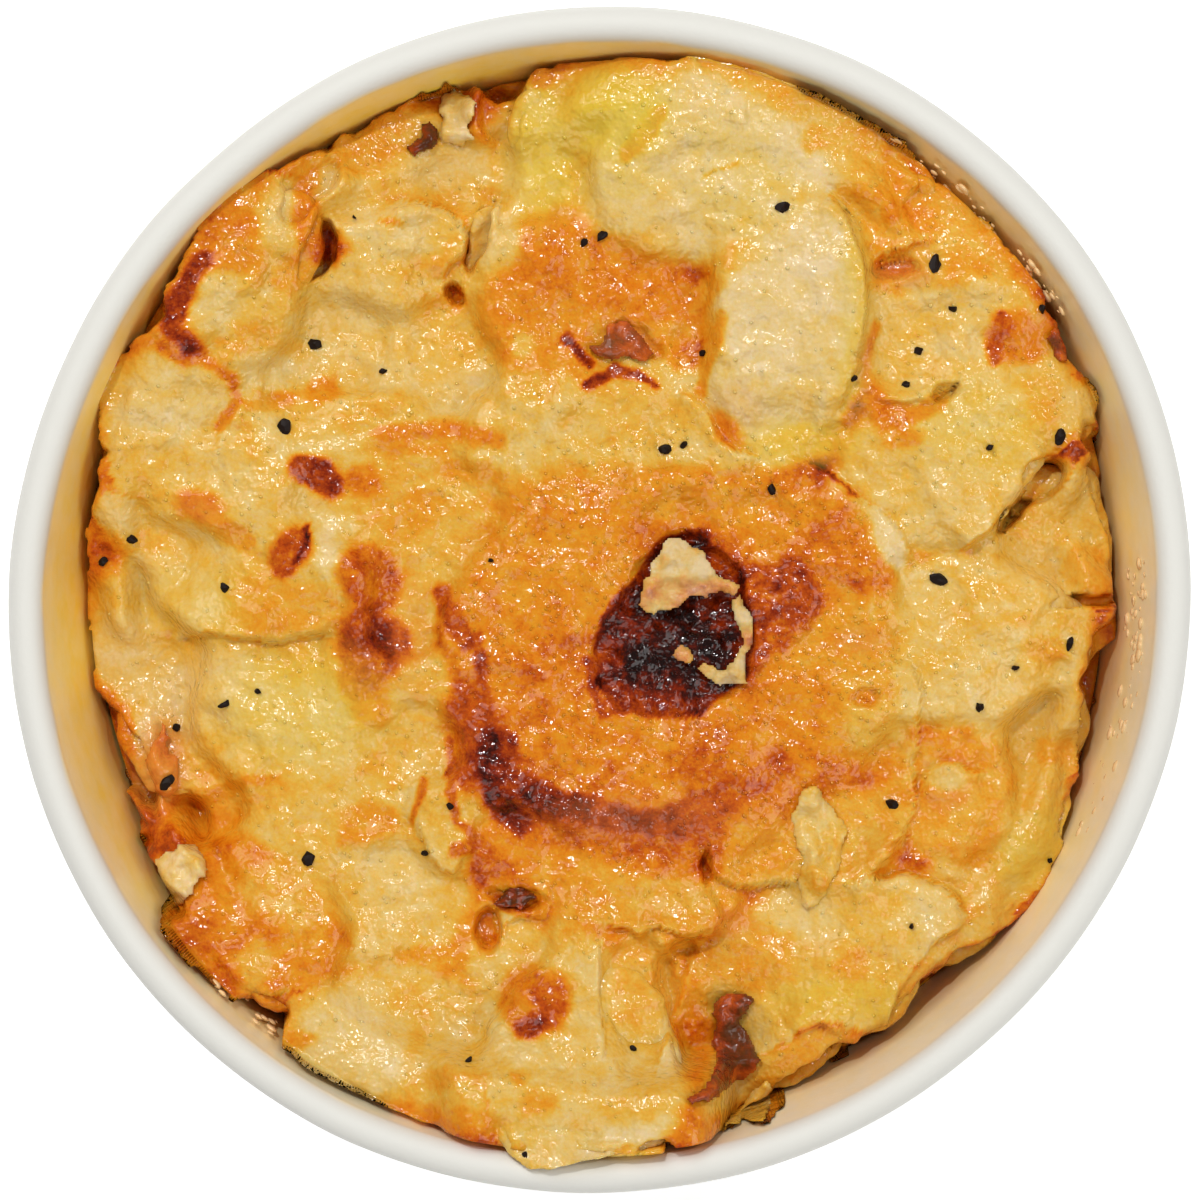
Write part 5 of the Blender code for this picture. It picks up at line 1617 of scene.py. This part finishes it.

# %% [markdown]
# ## Stained paper
# The paper is white outside and on the rolled rim. Inside, fat and cheese have soaked it a warm
# tan from the rim down. At the upper left the tan is deeper: partly stain, partly painted shade.

# %% Soak the wall
# the side where the tan deepens, partly stain and partly painted shade
OILY_AND_SHADED_SIDE = math.radians(125)
wall_points = corners(paper_wall.data)
around = np.arctan2(wall_points[:, 1], wall_points[:, 0])
wall_radius = np.hypot(wall_points[:, 0], wall_points[:, 1])
squeezed = np.cos(2 * (around - SQUEEZE_DIRECTION))
wall_radius /= 1 + SQUEEZE * wall_points[:, 2] / BOWL_HEIGHT * squeezed
inside = inner_radius(wall_points[:, 2]) + PAPER / 2 - wall_radius
below_rim = ROLL_MIDDLE[1] + 0.7 - wall_points[:, 2] + 0.5 * lumps(wall_points, 3, 61)
stain = np.clip(inside / 0.1, 0, 1) * np.clip(below_rim / 0.9, 0, 1)
keep_value(paper_wall.data, "stain", np.where(wall_points[:, 2] < 10, 0, stain))
# deeper tan towards the upper left: partly stain, partly painted shade
oily_and_shaded = 0.5 + 0.5 * np.cos(around - OILY_AND_SHADED_SIDE)
below = np.clip((ROLL_MIDDLE[1] - wall_points[:, 2]) / 8, 0, 1)
keep_value(paper_wall.data, "depth", np.clip(0.45 * below + 0.75 * oily_and_shaded - 0.1, 0, 1))
print("The stain covers", round(float((stain > 0.5).mean()), 2), "of the wall's points")

# %% [markdown]
# ## Put everything on its body
# The dish has no moving parts, so every piece rides on the one body, and each stands for the
# plain solid that it was made from.

# %% Ride and replace
SLOTS = {"crust_disc": "crust", "slice_toasted_north": "crust", "slice_southwest_golden": "crust"}
for name, piece in foods.items():
    kind = name.split("_")[0]
    slot = SLOTS.get(name, kind if kind in ("bacon", "flake") else "potato")
    if name == "gratin_bed":
        slot = "sauce"
    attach(piece, "root")
    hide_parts(name)
for piece, slot in ((cheese_skin, "sauce"), (pepper, "flake"), (crumbs, "crust"), (sauce_drops, "sauce")):
    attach(piece, "root")
for piece, node in ((paper_wall, "bowl_wall"), (paper_base, "bowl_base")):
    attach(piece, "root")
    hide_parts(node)
print("Everything rides")

# %% [markdown]
# ## Floor, light and camera
# A pale floor, one broad soft light from the upper left, two small ones that make the fat
# sparkle, two fills from the east and the south, and a camera straight above.

# %% The stage
FLOOR = ((-3, -3, 0), (3, -3, 0), (3, 3, 0), (-3, 3, 0))
floor_mesh = bpy.data.meshes.new("floor")
floor_mesh.from_pydata(FLOOR, [], [(0, 1, 2, 3)])
floor = in_scene("floor", floor_mesh)
floor_material, floor_shader, _ = new_material("pale_floor")
floor_shader.inputs["Base Color"].default_value = (0.95, 0.95, 0.95, 1)
floor_shader.inputs["Roughness"].default_value = 0.9
floor_shader.inputs["Emission Color"].default_value = (1, 1, 1, 1)
floor_shader.inputs["Emission Strength"].default_value = 0.4
floor_mesh.materials.append(floor_material)

world = bpy.data.worlds.new("room")
bpy.context.scene.world = world
world.use_nodes = True
background = world.node_tree.nodes["Background"]
background.inputs["Color"].default_value = (1, 1, 1, 1)
background.inputs["Strength"].default_value = 0.18
print("The floor is", FLOOR[2][0] - FLOOR[0][0], "m wide")

# %% Lamps
LIGHT_TARGET = Vector((0, 0, 0.05))


def lamp(name, size, power, where):
    """A round area light that looks at the bowl."""
    light = bpy.data.lights.new(name, "AREA")
    light.shape = "DISK"
    light.size = size
    light.energy = power
    made = in_scene(name, light)
    made.location = where
    made.rotation_euler = (LIGHT_TARGET - Vector(where)).to_track_quat("-Z", "Y").to_euler()


lamp("window", 0.8, 4.0, (-0.42, 0.6, 0.75))
lamp("spark", 0.035, 2.8, (-0.16, 0.42, 0.9))
lamp("glint", 0.035, 1.0, (0.3, 0.2, 0.9))
lamp("fill_east", 0.7, 3.2, (0.7, -0.25, 0.7))
lamp("fill_south", 0.7, 2.0, (-0.2, -0.75, 0.7))
print(len(bpy.data.lights), "lamps")

# %% The camera
camera_data = bpy.data.cameras.new("camera")
camera_data.lens = 160.9
camera_data.sensor_width = 36
camera = in_scene("camera", camera_data)
camera.location = (0, 0, CAMERA_HEIGHT * MM)
bpy.context.scene.camera = camera
bpy.context.scene.view_settings.view_transform = "Standard"
print("The camera hangs at", camera.location.z, "m")

# %% [markdown]
# ## Finish
# The dressed dish stays inside the box of the plain solids.
